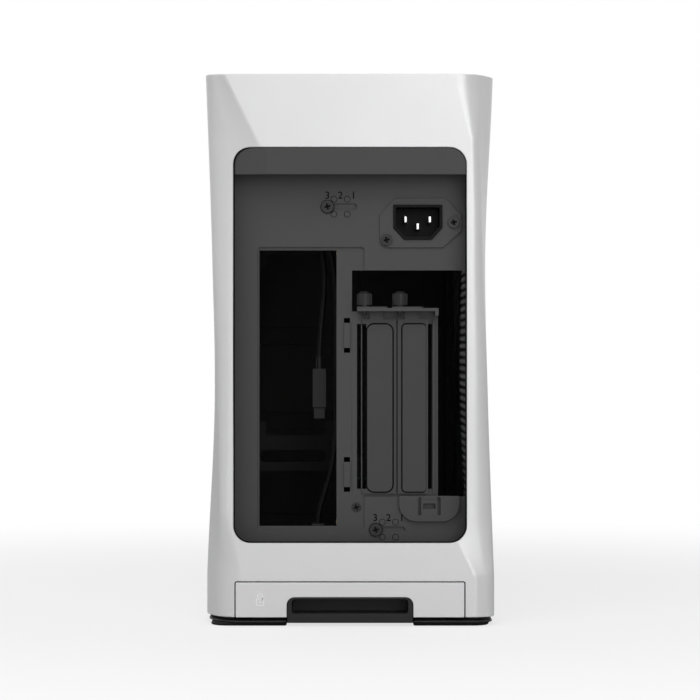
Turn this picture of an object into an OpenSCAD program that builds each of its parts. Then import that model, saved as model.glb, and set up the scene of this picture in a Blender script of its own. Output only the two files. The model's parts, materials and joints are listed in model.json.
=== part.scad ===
// Small-form computer case with a one-piece sculpted shell, seen from its rear at -Y.
// Millimetres, +Z up, origin on the floor under the middle of the base.
// The shell lifts off a chassis that holds a sideways-moving spine for board and card.

/* [Case] */
// Width over base and top rim
case_w = 165; // [160:1:180]
// Depth from rear face to front face
case_d = 366; // [350:1:400]
// Height over everything
case_h = 314; // [305:1:330]
// Height of the black base tray
base_h = 4.8; // [4.4:0.1:5.2]
// Height where the straight foot of the shell ends and the sculpted part starts
foot_h = 28; // [27:0.5:32]
// Clearance between pieces that move past each other
slide_gap = 0.3; // [0.2:0.05:0.5]

/* [Shell] */
// Wall of the shell
shell_wall = 2.5; // [2:0.1:3]
// How far each side wall is drawn in at its waist
waist_in = 4.4; // [3:0.1:5]
// How far a rear or front face leans back where a crease has left it
face_tilt = 4; // [3:0.1:5]
// Depth that the facet beside each corner runs to
facet_run = 22; // [18:1:26]
// Reach of the corner rounding at foot and rim
corner_reach = 11.5; // [9:0.5:13]
// Reach of the corner rounding where a corner is drawn in most
knee_reach = 4; // [3:0.5:6]
// Height of the ledge that carries the top panel, below the rim
ledge_drop = 11; // [10:0.5:13]
// Width of that ledge
ledge_w = 9; // [8:0.5:10]

/* [Rear opening] */
// Width of the rear face beside the opening
open_side = 16.2; // [15.8:0.1:17.5]
// Height of its lower edge over the floor
open_z = 47.3; // [45:0.1:49]
// Height of the rear face over the opening
open_drop = 41.7; // [40:0.1:44]
// Corner radius of the opening
open_r = 9.7; // [8:0.1:11]
// Height of the dark brow that fills the top of the opening
brow_h = 15.6; // [14:0.1:17]
// Thickness of the brow
brow_t = 2; // [1.5:0.1:2.5]
// Depth from the rear face to the recessed panel
recess_d = 20; // [18:0.5:22]

/* [Sheet metal] */
// Thickness of the steel sheets
sheet_t = 1.2; // [1:0.1:1.4]
// Distance from the shell's side to the chassis
frame_side = 9.5; // [9:0.1:10.5]
// Depth of the top plate that carries the fans, below the rim
deck_drop = 52; // [50:0.5:54]
// Gap from the front face to the front plate
front_gap = 23; // [21:0.5:25]
// Width of a corner post
post_w = 4.5; // [4:0.1:5]
// Depth of a corner post
post_d = 10; // [8:0.5:12]

/* [Panel cut-outs] */
// Left edge of the board cut-out, from the middle
io_win_left = 53.3; // [52.8:0.1:54]
// Right edge of the board cut-out, from the middle
io_win_right = 8.3; // [7.8:0.1:9]
// Lower edge of the board cut-out over the floor
io_win_z = 53.6; // [52:0.1:54]
// Upper edge of the board cut-out over the floor
io_win_top = 216.3; // [215.4:0.1:218]
// Distance from the chassis's side to the card cut-out
card_win_side = 6.2; // [6:0.1:7]
// Lower edge of the card cut-out over the floor
card_win_z = 72.6; // [72:0.1:73]
// Upper edge of the card cut-out over the floor
card_win_top = 202.8; // [200:0.1:206]
// Corner radius of the cut-outs
win_r = 2; // [1.5:0.1:3]

/* [Spine] */
// Sideways travel of the spine
spine_travel = 15.2; // [14:0.1:15.4]
// Face of the spine plate on the board side, left of the middle
spine_x = 2; // [1.6:0.1:2.4]
// Depth of the spine plate behind the rear panel
spine_d = 200; // [195:1:205]
// Short side of the board connector cut-out
io_w = 44.45; // [44:0.05:45]
// Long side of the board connector cut-out
io_h = 158.75; // [158:0.05:159]
// Height of the middle of that cut-out
io_z = 135; // [134:0.1:136]
// Gap from the cut-out to the left edge of the window, at rest
io_inset = 1.1; // [0.8:0.1:1.4]
// Hole spacing of the board along the depth
board_d = 154.94; // [150:0.01:160]
// Hole spacing of the board along the height
board_h = 157.48; // [155:0.01:159]
// Length of a board standoff
standoff_l = 6; // [5.5:0.1:6.5]
// Outer radius of a board standoff
standoff_r = 2.6; // [2.4:0.1:3]
// Radius of the thread bore in a standoff
standoff_bore = 1.5; // [1.3:0.05:1.6]

/* [Card slots] */
// Pitch of two card slots
slot_pitch = 20.32; // [20:0.02:20.6]
// Middle of the first slot right of the middle
slot_x = 17.2; // [17:0.1:17.5]
// Height of the lower end of the covers over the floor
cover_z = 74.3; // [73.9:0.1:75]
// Height of a cover
cover_h = 100.4; // [99:0.1:101]
// Width of the raised pad on a cover
pad_w = 14.5; // [13:0.1:15]
// Height that the pad is raised
pad_t = 1; // [0.8:0.1:1.2]
// Corner radius of a pad
pad_r = 4; // [3:0.1:5]
// How far the slot head stands out to the rear
head_out = 11; // [10:0.2:12]
// Thickness of the slot head
head_t = 1.8; // [1.6:0.1:2]
// Height of the slot head over the ends of the covers
head_rise = 4.5; // [4.2:0.1:5]
// Right edge of the slot frame from the middle
slot_right = 50.7; // [50.3:0.1:51]

/* [Thumbscrews] */
// Diameter of a thumbscrew's knurled head
thumb_d = 8.7; // [8:0.1:9.2]
// Height of the knurled head
thumb_h = 6.4; // [6:0.1:7]
// Height of the dome on the head
thumb_dome = 1.4; // [1:0.1:1.8]
// Radius of the screw shank
thumb_r = 1.75; // [1.6:0.05:1.9]
// Height of the neck under the head
thumb_neck = 1; // [0.8:0.1:1.2]
// Length of the shank under the slot head
thumb_tip = 3.2; // [2.8:0.1:3.4]

/* [Position slots] */
// Height of the upper slot over the floor
track_top_z = 239.5; // [238.5:0.1:240]
// Height of the lower slot over the floor
track_low_z = 53.6; // [53:0.1:54]
// Place of the screw in the upper slot, left of the middle
track_top_x = 13; // [12.6:0.1:13.4]
// Place of the screw in the lower slot, right of the middle
track_low_x = 14.8; // [14.4:0.1:15.2]
// Width of a position slot
track_w = 3.7; // [3.5:0.1:3.9]
// Head radius of a position screw
track_head_r = 3.6; // [3.3:0.1:3.8]
// Radius of the dimples that mark the positions
dimple_r = 1.55; // [1.4:0.05:1.7]

/* [Mains inlet] */
// Middle of the inlet right of the middle of the case
inlet_x = 39; // [38.6:0.1:39.6]
// Height of the middle of the inlet
inlet_z = 230.5; // [230:0.1:231]
// Width of the inlet shroud
inlet_w = 28; // [27.5:0.1:28.5]
// Height of the inlet shroud
inlet_h = 20; // [19.5:0.1:20.5]
// Wall of the shroud round the socket
inlet_wall = 1.6; // [1.4:0.1:1.8]
// Length of the inlet body
inlet_l = 26; // [24:0.5:30]
// Depth of the socket
inlet_depth = 15; // [14:0.5:17]
// Distance between the two line pins
pin_pitch = 14; // [13.8:0.1:14.2]

/* [Drawer] */
// Width of the shell's foot beside a notch
notch_side = 16.9; // [16.5:0.1:17.5]
// Height of the notches over the floor
notch_top = 25.5; // [25:0.1:26.2]
// Visible seam round the drawer front
seam = 0.6; // [0.5:0.05:0.8]
// Thickness of the drawer front
drawer_t = 2.5; // [2.2:0.1:3]
// Width of the finger recess
grip_w = 72; // [68:0.5:76]
// Height of the top of the finger recess
grip_top = 16.5; // [15.5:0.1:17.5]
// Corner radius of the finger recess
grip_r = 4.5; // [4:0.1:5]
// Wall of the black liner in the recess
liner_wall = 2.7; // [2.4:0.1:3]
// Height of the upper edge of the lip under the fingers
lip_top = 6.8; // [6.4:0.1:7.2]
// Depth of the finger pocket
pocket_d = 20; // [18:0.5:22]
// Height of the clear space under the middle of the base
under_h = 1.9; // [1.7:0.1:2.1]
// Distance from the side of a notch to the dust filter
filter_side = 9.6; // [7.6:0.1:11.6]
// Depth of the case that the dust filter leaves free
filter_rest = 66; // [62:1:76]
// Width of the filter's frame
filter_rim = 9; // [8:0.5:10]
// Thickness of the filter's frame
filter_t = 5; // [4:0.2:6]

/* [Card retainer] */
// Left edge of the retainer from the middle
ret_x = 28.2; // [28:0.1:28.6]
// Width of the retainer
ret_w = 34.8; // [34:0.1:35.4]
// Lower edge of the retainer over the floor
ret_z = 58.4; // [58:0.1:59]
// Height of the retainer
ret_h = 14.7; // [14.4:0.1:14.9]
// Radius of its lower corners
ret_r = 10; // [9:0.1:11]
// Thickness of the retainer
ret_t = 3; // [2.5:0.1:3.5]

/* [Fans] */
// Distance from the chassis's side to a fan
fan_side = 13; // [13:0.5:14]
// Thickness of a fan
fan_t = 25; // [24:0.5:26]
// Wall of a fan frame beside its bore
fan_wall = 2.5; // [2:0.1:4]
// Distance of a fan's screw holes from its sides
fan_hole_in = 7.5; // [7.2:0.1:7.8]
// Radius of a fan's screw holes
fan_hole = 2.15; // [2:0.05:2.3]
// Radius of a fan's hub
hub_r = 20; // [18:0.5:22]
// Blades of a fan
blades = 9; // [7:1:11]
// Distance between the middles of the two fans
fan_gap = 124; // [122:0.5:126]

/* [Top panel] */
// Thickness of the wooden slats
slat_t = 6; // [5:0.1:6.5]
// Width of a slat
slat_w = 5.2; // [4.6:0.1:6]
// Pitch of the slats
slat_pitch = 9.6; // [9:0.1:11]
// Gap round the top panel
panel_gap = 0.6; // [0.5:0.05:0.8]
// Border of solid wood round the slats
wood_border = 12; // [10:0.5:14]
// Lift needed to take the panel off its studs
stud_l = 6; // [5:0.2:7]

/* [Front strip] */
// Radius of the power button
button_r = 5; // [4.5:0.1:5.5]
// Travel of the power button
button_travel = 1.5; // [1.2:0.1:1.8]
// Distance from the middle of the case to the power button
button_x = 48; // [46:0.5:50]
// Height of the ports and the button over the floor
port_z = 15; // [14.5:0.1:15.5]

/* [Hidden] */

$fn = 48;
cut = 1;                                // overrun of every cut
rear_y = -case_d / 2;                   // rear face
front_y = case_d / 2;                   // front face
half_w = case_w / 2;
open_w = case_w - 2 * open_side;        // width of the rear opening
open_h = case_h - open_z - open_drop;   // height of the rear opening
frame_w = case_w - 2 * frame_side;      // width of the chassis over its side rails
deck_z = case_h - deck_drop;            // underside of the plate that carries the fans
notch_w = case_w - 2 * notch_side;      // width of the notches at the foot of the shell
card_win_right = frame_w / 2 - card_win_side;
filter_w = notch_w - 2 * filter_side;
filter_l = case_d - filter_rest;
fan_w = frame_w - 2 * fan_side;         // side of a fan frame
fan_bore = fan_w / 2 - fan_wall;        // radius of a fan frame's bore
fan_pitch = fan_w - 2 * fan_hole_in;    // spacing of a fan's screw holes
rim_h = 1;                              // height of the plain rim at the top
rim_z = case_h - rim_h;                 // where the sculpted part ends at the top
sculpt_h = rim_z - foot_h;
mid_z = (rim_z + foot_h) / 2;
panel_y = rear_y + recess_d;            // outer face of the rear panel
panel_in = panel_y + sheet_t;           // inner face of the rear panel
plate_y = front_y - front_gap;          // inner face of the front plate
floor_z = foot_h - sheet_t - slide_gap; // underside of the floor plate
floor_top = floor_z + sheet_t;
open_top = open_z + open_h;
brow_z = open_top - brow_h;
rail_w = (frame_w - notch_w) / 2 + seam; // width of the rails under the floor plate
flange_y = panel_in + slide_gap;        // outer face of the spine's rear flange
flange_in = flange_y + sheet_t;
rim_gap = 1;                            // black gap between slot pieces
bump_t = 0.5;                           // how far dimples and small heads stand out

// Shell surface
// Half-width of the corner line over the height, as shares of sculpt_h and half_w.
corner_share = [[0, 0.885], [0.112, 0.892], [0.155, 0.894], [0.27, 0.903], [0.393, 0.916],
    [0.572, 0.945], [0.751, 0.961], [0.909, 0.984], [1, 1]];
// The same for the corner at +X, counted from the top down.
corner_share_b = [[0, 0.866], [0.112, 0.872], [0.155, 0.879], [0.27, 0.9], [0.393, 0.916],
    [0.572, 0.945], [0.751, 0.961], [0.909, 0.984], [1, 1]];
// Heights of the rings, as shares of sculpt_h.
ring_share = [0, 0.014, 0.034, 0.074, 0.112, 0.155, 0.21, 0.27, 0.33, 0.4, 0.46, 0.54, 0.6, 0.67, 0.73,
    0.79, 0.845, 0.888, 0.926, 0.966, 0.986, 1];
waist_share = 0.382;                    // height of the waist at the drawn-in end of a side
crease_share = 0.868;                   // share of half_w that a crease runs to
side_share = [-0.5, 0, 0.5];            // places of the rings' points along a side

// How much of waist_in a side has at height share u, with its waist at height share w
function waist(u, w) = let (v = u > w ? (1 - u) / (1 - w) : u / w)
    (sin(90 * v) + v * v * (3 - 2 * v)) / 2;
// Half-width of the side at -X; t runs from -1 at the rear to 1 at the front
function side_x(u, t) = half_w - waist_in * waist(u, (waist_share + (t + 1) / 2 * (1 - 2 * waist_share)));
function corner_x(u) = half_w * lookup(u, corner_share);
function corner_xb(u) = half_w * lookup(1 - u, corner_share_b);
function crease_x(u) = half_w * crease_share * (1 - 2 * u);
function reach(u) = knee_reach + (corner_reach - knee_reach)
    * min(1, abs(u - waist_share / 3) / (1 - waist_share) + (u < waist_share / 3 ? 1 - 3 * u / waist_share
        : 0));

// Plan outline of the rear half of a ring at height share u, drawn in by w: corner points and reaches
function rear_half(u, w) = let (run = case_d / 2 - facet_run) [
    [[-side_x(u, -0.5) + w, -run / 2], 0],
    [[-side_x(u, -1) + w, rear_y + facet_run], corner_reach / 2],
    [[-corner_x(u) + w, rear_y + face_tilt * u + w], reach(u)],
    [[crease_x(u), rear_y + w], 0],
    [[corner_xb(u) - w, rear_y + face_tilt * (1 - u) + w], reach(1 - u)],
    [[side_x(1 - u, -1) - w, rear_y + facet_run], corner_reach / 2],
    [[side_x(1 - u, -0.5) - w, -run / 2], 0],
    [[side_x(1 - u, 0) - w, 0], 0]];
function turned(list) = [for (p = list) [-p[0], p[1]]];
function whole_ring(u, w) = concat(rear_half(u, w), turned(rear_half(u, w)));
bend_steps = 5;
// A corner of the outline, rounded by a curve between points at its reach along both neighbours
function bend(a, b, c, r) = r == 0 ? [b] : let (p = b + (a - b) * min(0.45, r / norm(a - b)),
    q = b + (c - b) * min(0.45, r / norm(c - b)))
    [for (i = [0:bend_steps])
        let (t = i / bend_steps) (1 - t) * (1 - t) * p + 2 * t * (1 - t) * b + t * t * q];
function rounded(list) = let (n = len(list)) [for (i = [0:n - 1])
    each bend(list[(i + n - 1) % n][0], list[i][0], list[(i + 1) % n][0], list[i][1])];
levels = concat([[base_h + slide_gap, 0]], [for (u = ring_share) [foot_h + u * sculpt_h, u]],
    [[case_h, 1]]);

module sculpted_tube() {
    rings = [for (w = [0, shell_wall], l = levels) [for (p = rounded(whole_ring(l[1], w)))
        [p[0], p[1], l[0]]]];
    n = len(rings[0]);
    m = len(levels);
    function at(w, l, i) = (w * m + l) * n + i % n;
    polyhedron(points = [for (r = rings) each r], faces = concat(
        [for (l = [0:m - 2], i = [0:n - 1], f = [0, 1]) f == 0
            ? [at(0, l, i), at(0, l + 1, i), at(0, l + 1, i + 1)]
                : [at(0, l, i), at(0, l + 1, i + 1), at(0, l, i + 1)]],
        [for (l = [0:m - 2], i = [0:n - 1], f = [0, 1]) f == 0
            ? [at(1, l, i), at(1, l + 1, i + 1), at(1, l + 1, i)]
                : [at(1, l, i), at(1, l, i + 1), at(1, l + 1, i + 1)]],
        [for (i = [0:n - 1], f = [0, 1]) f == 0
            ? [at(0, 0, i), at(0, 0, i + 1), at(1, 0, i + 1)]
                : [at(0, 0, i), at(1, 0, i + 1), at(1, 0, i)]],
        [for (i = [0:n - 1], f = [0, 1]) f == 0
            ? [at(0, m - 1, i + 1), at(0, m - 1, i), at(1, m - 1, i)]
            : [at(0, m - 1, i + 1), at(1, m - 1, i), at(1, m - 1, i + 1)]]));
}

module outer_shell() {
    color("gainsboro") difference() {
        sculpted_tube();
        rear_prism(-open_w / 2, open_w / 2, open_z, open_top, rear_y - cut, rear_y + facet_run / 2,
            open_r);
        for (turn = [0, 180]) rotate([0, 0, turn])
            rear_prism(-notch_w / 2, notch_w / 2, -foot_h, notch_top, rear_y - cut,
                rear_y + facet_run / 2, seam);
    }
}

// A prism along Y with a rounded rectangle for its outline
module rear_prism(x0, x1, z0, z1, y0, y1, r) {
    translate([0, y1, 0]) rotate([90, 0, 0]) linear_extrude(y1 - y0) round_rect(x0, x1, z0, z1, r);
}

module round_rect(x0, x1, y0, y1, r) {
    translate([x0 + r, y0]) square([x1 - x0 - 2 * r, y1 - y0]);
    translate([x0, y0 + r]) square([x1 - x0, y1 - y0 - 2 * r]);
    for (x = [x0 + r, x1 - r], y = [y0 + r, y1 - r]) translate([x, y]) circle(r);
}

// The plan line of the brow's outer face, which follows the crease, drawn in by w
function brow_line(w) = let (u = (brow_z + brow_h / 2 - foot_h) / sculpt_h, r = rear_half(u, w))
    [r[2][0], r[3][0], r[4][0]];

module rear_brow() {
    color("dimgray") intersection() {
        translate([0, 0, brow_z]) linear_extrude(brow_h)
            polygon(concat(brow_line(slide_gap), [for (i = [2:-1:0]) brow_line(slide_gap + brow_t)[i]]));
        rear_prism(-open_w / 2 + seam / 2, open_w / 2 - seam / 2, open_z, open_top - seam / 2,
            rear_y - cut, rear_y + facet_run, open_r);
    }
}

ledge_z = case_h - ledge_drop;          // top of the ledge that carries the top panel
ledge_t = 3;                            // thickness of the ledge
inner_w = case_w - 2 * shell_wall;      // clear width inside the rim
inner_d = case_d - 2 * shell_wall;

// A plate with the plan of the shell at height z, drawn in by w from the shell's outer face
module ring_plate(z, t, w) {
    translate([0, 0, z]) linear_extrude(t)
        polygon([for (p = rounded(whole_ring((z - foot_h) / sculpt_h, w))) p]);
}

// A rounded rectangle that stands clear of the shell's inner face by g
module inner_plate(g, z0, z1) {
    translate([0, 0, z0]) linear_extrude(z1 - z0)
        round_rect(-inner_w / 2 + g, inner_w / 2 - g, -inner_d / 2 + g, inner_d / 2 - g,
            corner_reach / 2);
}

module shell_ledge() {
    color("silver") difference() {
        ring_plate(ledge_z - ledge_t, ledge_t, shell_wall + panel_gap);
        inner_plate(ledge_w, ledge_z - ledge_t - cut, ledge_z + cut);
        for (p = stud_places) translate([p[0], p[1], ledge_z - ledge_t - cut])
            cylinder(r = stud_hole_r, h = ledge_t + 2 * cut);
    }
}

// Top panel
stud_r = 1.6;                           // radius of a top panel stud
stud_hole_r = stud_r + slide_gap;
stud_x = inner_w / 2 - ledge_w / 2 - stud_r / 2;
stud_places = [for (x = [-stud_x, stud_x], y = [-inner_d / 4, inner_d / 4]) [x, y]];
panel_frame_t = 2;                      // thickness of the metal frame under the slats
wood_z = ledge_z + panel_frame_t;

module top_panel() {
    slots = floor((inner_w - 2 * wood_border - 2 * panel_gap) / slat_pitch);
    bridge = wood_border;               // width of the two cross rails
    bay = (inner_d - 2 * panel_gap - 2 * wood_border - 2 * bridge) / 3;
    color("sienna") difference() {
        ring_plate(wood_z, slat_t, shell_wall + panel_gap);
        for (i = [0:slots - 1], j = [-1, 0, 1])
            translate([(i - (slots - 1) / 2) * slat_pitch, j * (bay + bridge), wood_z + slat_t / 2])
                cube([slat_pitch - slat_w, bay, slat_t + 2 * cut], center = true);
    }
}

module top_panel_frame() {
    color("black") difference() {
        ring_plate(ledge_z, panel_frame_t, shell_wall + panel_gap + panel_frame_t);
        inner_plate(wood_border, ledge_z - cut, wood_z + cut);
    }
}

module top_panel_studs() {
    color("silver") for (p = stud_places) translate([p[0], p[1], ledge_z - stud_l]) {
        cylinder(r = stud_r, h = stud_l);
        translate([0, 0, stud_r]) sphere(stud_r * 1.1);
    }
}

// Base
grip_gap = seam / 2;                    // gap round the finger recess liner
intake_w = filter_w - 2 * filter_rim;   // width of the intake in the base
intake_rib = 6;                         // width of the ribs across the intake
intake_bays = 4;                        // bays of the intake

module base_plan() { polygon([for (p = rounded(whole_ring(0, 0))) p]); }

base_edge = 1.2;                        // step round the lower edge of the base
module base_tray() {
    bay = (filter_l - 2 * filter_rim - (intake_bays - 1) * intake_rib) / intake_bays;
    color("black") difference() {
        translate([0, 0, under_h]) linear_extrude(base_edge) offset(delta = -base_edge) base_plan();
        translate([0, 0, under_h + base_edge]) linear_extrude(base_h - under_h - base_edge) base_plan();
        for (i = [0:intake_bays - 1])
            translate([-intake_w / 2, filter_y + filter_rim + i * (bay + intake_rib), -cut])
                cube([intake_w, bay, base_h + 2 * cut]);
        translate([-grip_w / 2, rear_y - cut, -cut]) cube([grip_w,
            pocket_d + liner_wall + slide_gap + cut, base_h + 2 * cut]);
    }
}

foot_l = 60;                            // length of a rubber foot
foot_edge = 3;                          // how far a foot stays inside the base's side
module rubber_feet() {
    color("black") for (turn = [0, 180]) rotate([0, 0, turn]) for (side = [0, 1]) mirror([side, 0, 0])
        linear_extrude(under_h) intersection() {
            round_rect(-half_w + foot_edge, half_w - foot_edge, rear_y + foot_edge, front_y,
                corner_reach - foot_edge / 2);
            translate([grip_w / 2, rear_y]) square([half_w, foot_l]);
        }
}

rail_x = notch_w / 2 - seam;            // inner face of the side rails
module base_frame() {
    color("dimgray") difference() {
        translate([-frame_w / 2, panel_in, base_h]) cube([frame_w, plate_y - panel_in, floor_z - base_h]);
        translate([-rail_x, panel_in - cut, base_h - cut]) cube([2 * rail_x,
            plate_y - panel_in - front_wall + cut, floor_z + cut]);
    }
}
front_wall = 8;                         // thickness of the base frame's front wall

module floor_plate() {
    color("dimgray") difference() {
        translate([-frame_w / 2, panel_in, floor_z]) cube([frame_w, plate_y - panel_in, sheet_t]);
        for (s = [-1, 1]) translate([s * frame_w / 4 - floor_slot / 2 + s * spine_travel / 4, 0, 0])
            for (i = [0:floor_rows - 1])
            translate([0, filter_y + 2 * filter_rim + i * floor_pitch, floor_z - cut])
                cube([floor_slot, floor_pitch - floor_rib, sheet_t + 2 * cut]);
    }
}
floor_slot = 36;                        // length of the air slots in the floor plate
floor_rows = 2;                         // how many of them in a row along the depth
floor_rib = 10;                         // width of the rib between them
floor_pitch = (filter_l - 4 * filter_rim + floor_rib) / floor_rows;

// Rear panel
module win_outline() {
    round_rect(-io_win_left, io_win_right, io_win_z, io_win_top, win_r);
    round_rect(io_win_right - 3 * win_r, card_win_right, card_win_z, card_win_top, win_r);
}

// A slot with round ends between two places along X
module track(x0, x1, z, w) {
    translate([x0, z]) circle(w / 2);
    translate([x1, z]) circle(w / 2);
    translate([x0, z - w / 2]) square([x1 - x0, w]);
}

// A plate along XZ from an outline, with its outer face at y and its thickness behind it
module wall_plate(y, t) {
    translate([0, y + t, 0]) rotate([90, 0, 0]) linear_extrude(t) children();
}

// Round bosses of a radius, on a face at y, standing out to the rear
module bumps(places, y, r, h) {
    for (p = places) translate([p[0], y - h, p[1]]) rotate([-90, 0, 0]) cylinder(r = r, h = h);
}

step_x = spine_travel / 2;              // distance between two positions
// how far they stand out, so that the screw heads pass over them
dimple_out = slide_gap * 2 / 3;
dimple_z = track_w + 2 * bump_t - dimple_r / 4;
function dimple_places(x, z) = [for (i = [0, 1], s = [-1, 1]) [x + (i + 0.5) * step_x, z + s * dimple_z]];

module rear_panel() {
    color("dimgray") {
        wall_plate(panel_y, sheet_t) difference() {
            translate([-panel_w / 2, floor_z]) square([panel_w, deck_z - floor_z]);
            win_outline();
            track(-track_top_x, -track_top_x + spine_travel, track_top_z, track_w);
            track(track_low_x, track_low_x + spine_travel, track_low_z, track_w);
            inlet_outline(slide_gap);
            for (p = inlet_screw_places) translate(p) circle(inlet_screw_r + slide_gap / 4);
        }
        bumps(dimple_places(-track_top_x, track_top_z), panel_y, dimple_r, dimple_out);
        bumps(dimple_places(track_low_x, track_low_z), panel_y, dimple_r, dimple_out);
    }
}
panel_w = frame_w - 2 * sheet_t;        // width of the rear panel

// Chassis behind the panel
emboss_share = [[0.07, 0.32], [0.37, 0.57], [0.62, 0.86]]; // lower and upper ends of the embossed fields
module front_plate() {
    color("dimgray") {
        wall_plate(plate_y, sheet_t) translate([-panel_w / 2, floor_z])
            square([panel_w, deck_z - floor_z]);
        for (f = emboss_share, s = [-1, 1]) translate([s * panel_w / 4 , 0, floor_z])
            wall_plate(plate_y - sheet_t, sheet_t)
            round_rect(-panel_w * emboss_w_share, panel_w * emboss_w_share, f[0] * (deck_z - floor_z),
                f[1] * (deck_z - floor_z), emboss_r);
    }
}
emboss_w_share = 0.2;
emboss_r = 6;                           // corner radius of the embossed fields

module corner_posts() {
    color("dimgray") for (s = [-1, 1], y = [flange_in + slide_gap, plate_y - sheet_t - post_d])
        translate([s > 0 ? panel_w / 2 - post_w : -panel_w / 2, y, floor_top])
            cube([post_w, post_d, deck_z - floor_top]);
}

fan_y = fan_gap / 2;
fan_z = deck_z + sheet_t;
module fan_holes(r, z, h) {
    for (y = [-fan_y, fan_y], sx = [-1, 1], sy = [-1, 1])
        translate([sx * fan_pitch / 2, y + sy * fan_pitch / 2, z]) cylinder(r = r, h = h);
}

module fan_deck() {
    color("dimgray") difference() {
        translate([-frame_w / 2, panel_y, deck_z]) cube([frame_w, plate_y + sheet_t - panel_y, sheet_t]);
        for (y = [-fan_y, fan_y]) translate([0, y, deck_z - cut])
            cylinder(r = fan_bore, h = sheet_t + 2 * cut, $fn = 96);
        fan_holes(fan_hole, deck_z - cut, sheet_t + 2 * cut);
    }
}

fan_corner = 5;                         // corner radius of a fan frame
module fan_frame(y) {
    color("black") {
        difference() {
            translate([0, y, fan_z]) linear_extrude(fan_t) round_rect(-fan_w / 2, fan_w / 2, -fan_w / 2,
                fan_w / 2, fan_corner);
            translate([0, y, fan_z - cut]) cylinder(r = fan_bore, h = fan_t + 2 * cut, $fn = 96);
            for (sx = [-1, 1], sy = [-1, 1]) translate([sx * fan_pitch / 2, y + sy * fan_pitch / 2,
                fan_z - cut])
                cylinder(r = fan_hole, h = fan_t + 2 * cut);
        }
        translate([0, y, fan_z]) difference() {
            union() {
                cylinder(r = hub_r, h = strut_t);
                for (a = [45:90:315]) rotate([0, 0, a]) translate([hub_r - cut, -strut_t / 2, 0])
                    cube([fan_bore - hub_r + 2 * cut, strut_t, strut_t]);
            }
            translate([0, 0, -cut]) cylinder(r = axle_r + axle_gap, h = strut_t + 2 * cut);
        }
    }
}
strut_t = 4;                            // thickness of a fan's struts
axle_r = 2;                             // radius of a rotor's axle
axle_gap = 0.05;                        // running gap of the axle
tip_gap = 2;                            // gap from the blades to the bore
blade_t = 1.6;                          // thickness of a blade
blade_tilt = 35;                        // tilt of a blade

module fan_rotor(y) {
    h = fan_t - strut_t - 2 * tip_gap;
    blade_r = fan_bore - tip_gap;
    color("black") translate([0, y, fan_z + strut_t + slide_gap]) {
        cylinder(r = hub_r, h = h + tip_gap);
        translate([0, 0, -strut_t]) cylinder(r = axle_r, h = strut_t + cut);
        intersection() {
            for (i = [0:blades - 1]) rotate([0, 0, i * 360 / blades]) translate([hub_r - cut, 0, h / 2])
                rotate([blade_tilt, 0, 0]) translate([0, -h, -blade_t / 2])
                    cube([blade_r, 2 * h, blade_t]);
            cylinder(r = blade_r, h = h);
        }
    }
}

psu_d_place = 235;                      // depth of the bracket behind the rear face
psu_y = rear_y + psu_d_place;
psu_w = 63.5;                           // width of the power supply
psu_h = 125;                            // height of the power supply
psu_hole_w = 51.5;                      // spacing of its screws across
psu_hole_h = 113;                       // spacing of its screws over the height
psu_hole_r = 1.75;                      // radius of the screw holes
psu_edge = 3;                           // rim that carries the power supply
psu_z = 98;                             // lower end of the power supply
psu_foot_z = 77.5;                      // lower edge of the bracket
psu_x = -panel_w / 2 + post_w + psu_w / 2;
tie_r = 4;                              // half height of the tie slot under the power supply
tie_z = 87.4;                           // height of that slot

module psu_bracket() {
    color("dimgray") {
        wall_plate(psu_y, sheet_t) difference() {
            translate([-panel_w / 2, psu_foot_z]) square([psu_w + 2 * post_w, deck_z - psu_foot_z]);
            translate([psu_x - psu_w / 2 + psu_edge, psu_z + 4 * psu_edge])
                square([psu_w - 2 * psu_edge, psu_h - 8 * psu_edge]);
            translate([psu_x - psu_w / 2 + 4 * psu_edge, psu_z + psu_edge])
                square([psu_w - 8 * psu_edge, psu_h - 2 * psu_edge]);
            for (sx = [-1, 1], sz = [-1, 1]) translate([psu_x + sx * psu_hole_w / 2,
                psu_z + psu_h / 2 + sz * psu_hole_h / 2]) circle(psu_hole_r);
            track(psu_x - psu_w / 4 - tie_r, psu_x + psu_w / 4, tie_z, 2 * tie_r);
        }
        translate([-panel_w / 2, psu_y, floor_top]) cube([post_w, post_d, deck_z - floor_top]);
    }
}

// Mains inlet
inlet_cut_x_share = 0.218;              // share of the width that a lower corner is cut off by
inlet_cut_z_share = 0.335;              // the same over the height
inlet_flange_share = [[-0.78, 0.2], [-0.47, 0.68], [0.56, 0.7], [0.9, 0.21], [0.9, -0.24], [0.52, -0.73],
    [-0.65, -0.73], [-0.78, -0.62]];
inlet_screw_places = [[inlet_x - inlet_w * 0.643, inlet_z - inlet_h * 0.51],
    [inlet_x + inlet_w * 0.736, inlet_z - inlet_h * 0.005]];
inlet_screw_r = 1.5;                    // radius of the inlet screws
inlet_head_r = 3.3;                     // radius of their heads
inlet_rim = 1.4;                        // how far the shroud stands out of its flange
inlet_y = panel_y - sheet_t - inlet_rim; // rear end of the shroud

module inlet_outline(grow) {
    w = inlet_w / 2 + grow;
    h = inlet_h / 2 + grow;
    cx = 2 * w * inlet_cut_x_share;
    cz = 2 * h * inlet_cut_z_share;
    translate([inlet_x, inlet_z]) polygon([[-w, h], [w, h], [w, -h + cz], [w - cx, -h], [-w + cx, -h],
        [-w, -h + cz]]);
}

pin_w = 2;                              // width of a pin
pin_h = 4;                              // height of a pin
pin_drop = 4;                           // the earth pin's drop under the line pins
pin_rise = 1.6;                         // height of the line pins over the middle
pin_places = [[-pin_pitch / 2, pin_rise], [pin_pitch / 2, pin_rise], [0, pin_rise - pin_drop]];

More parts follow.
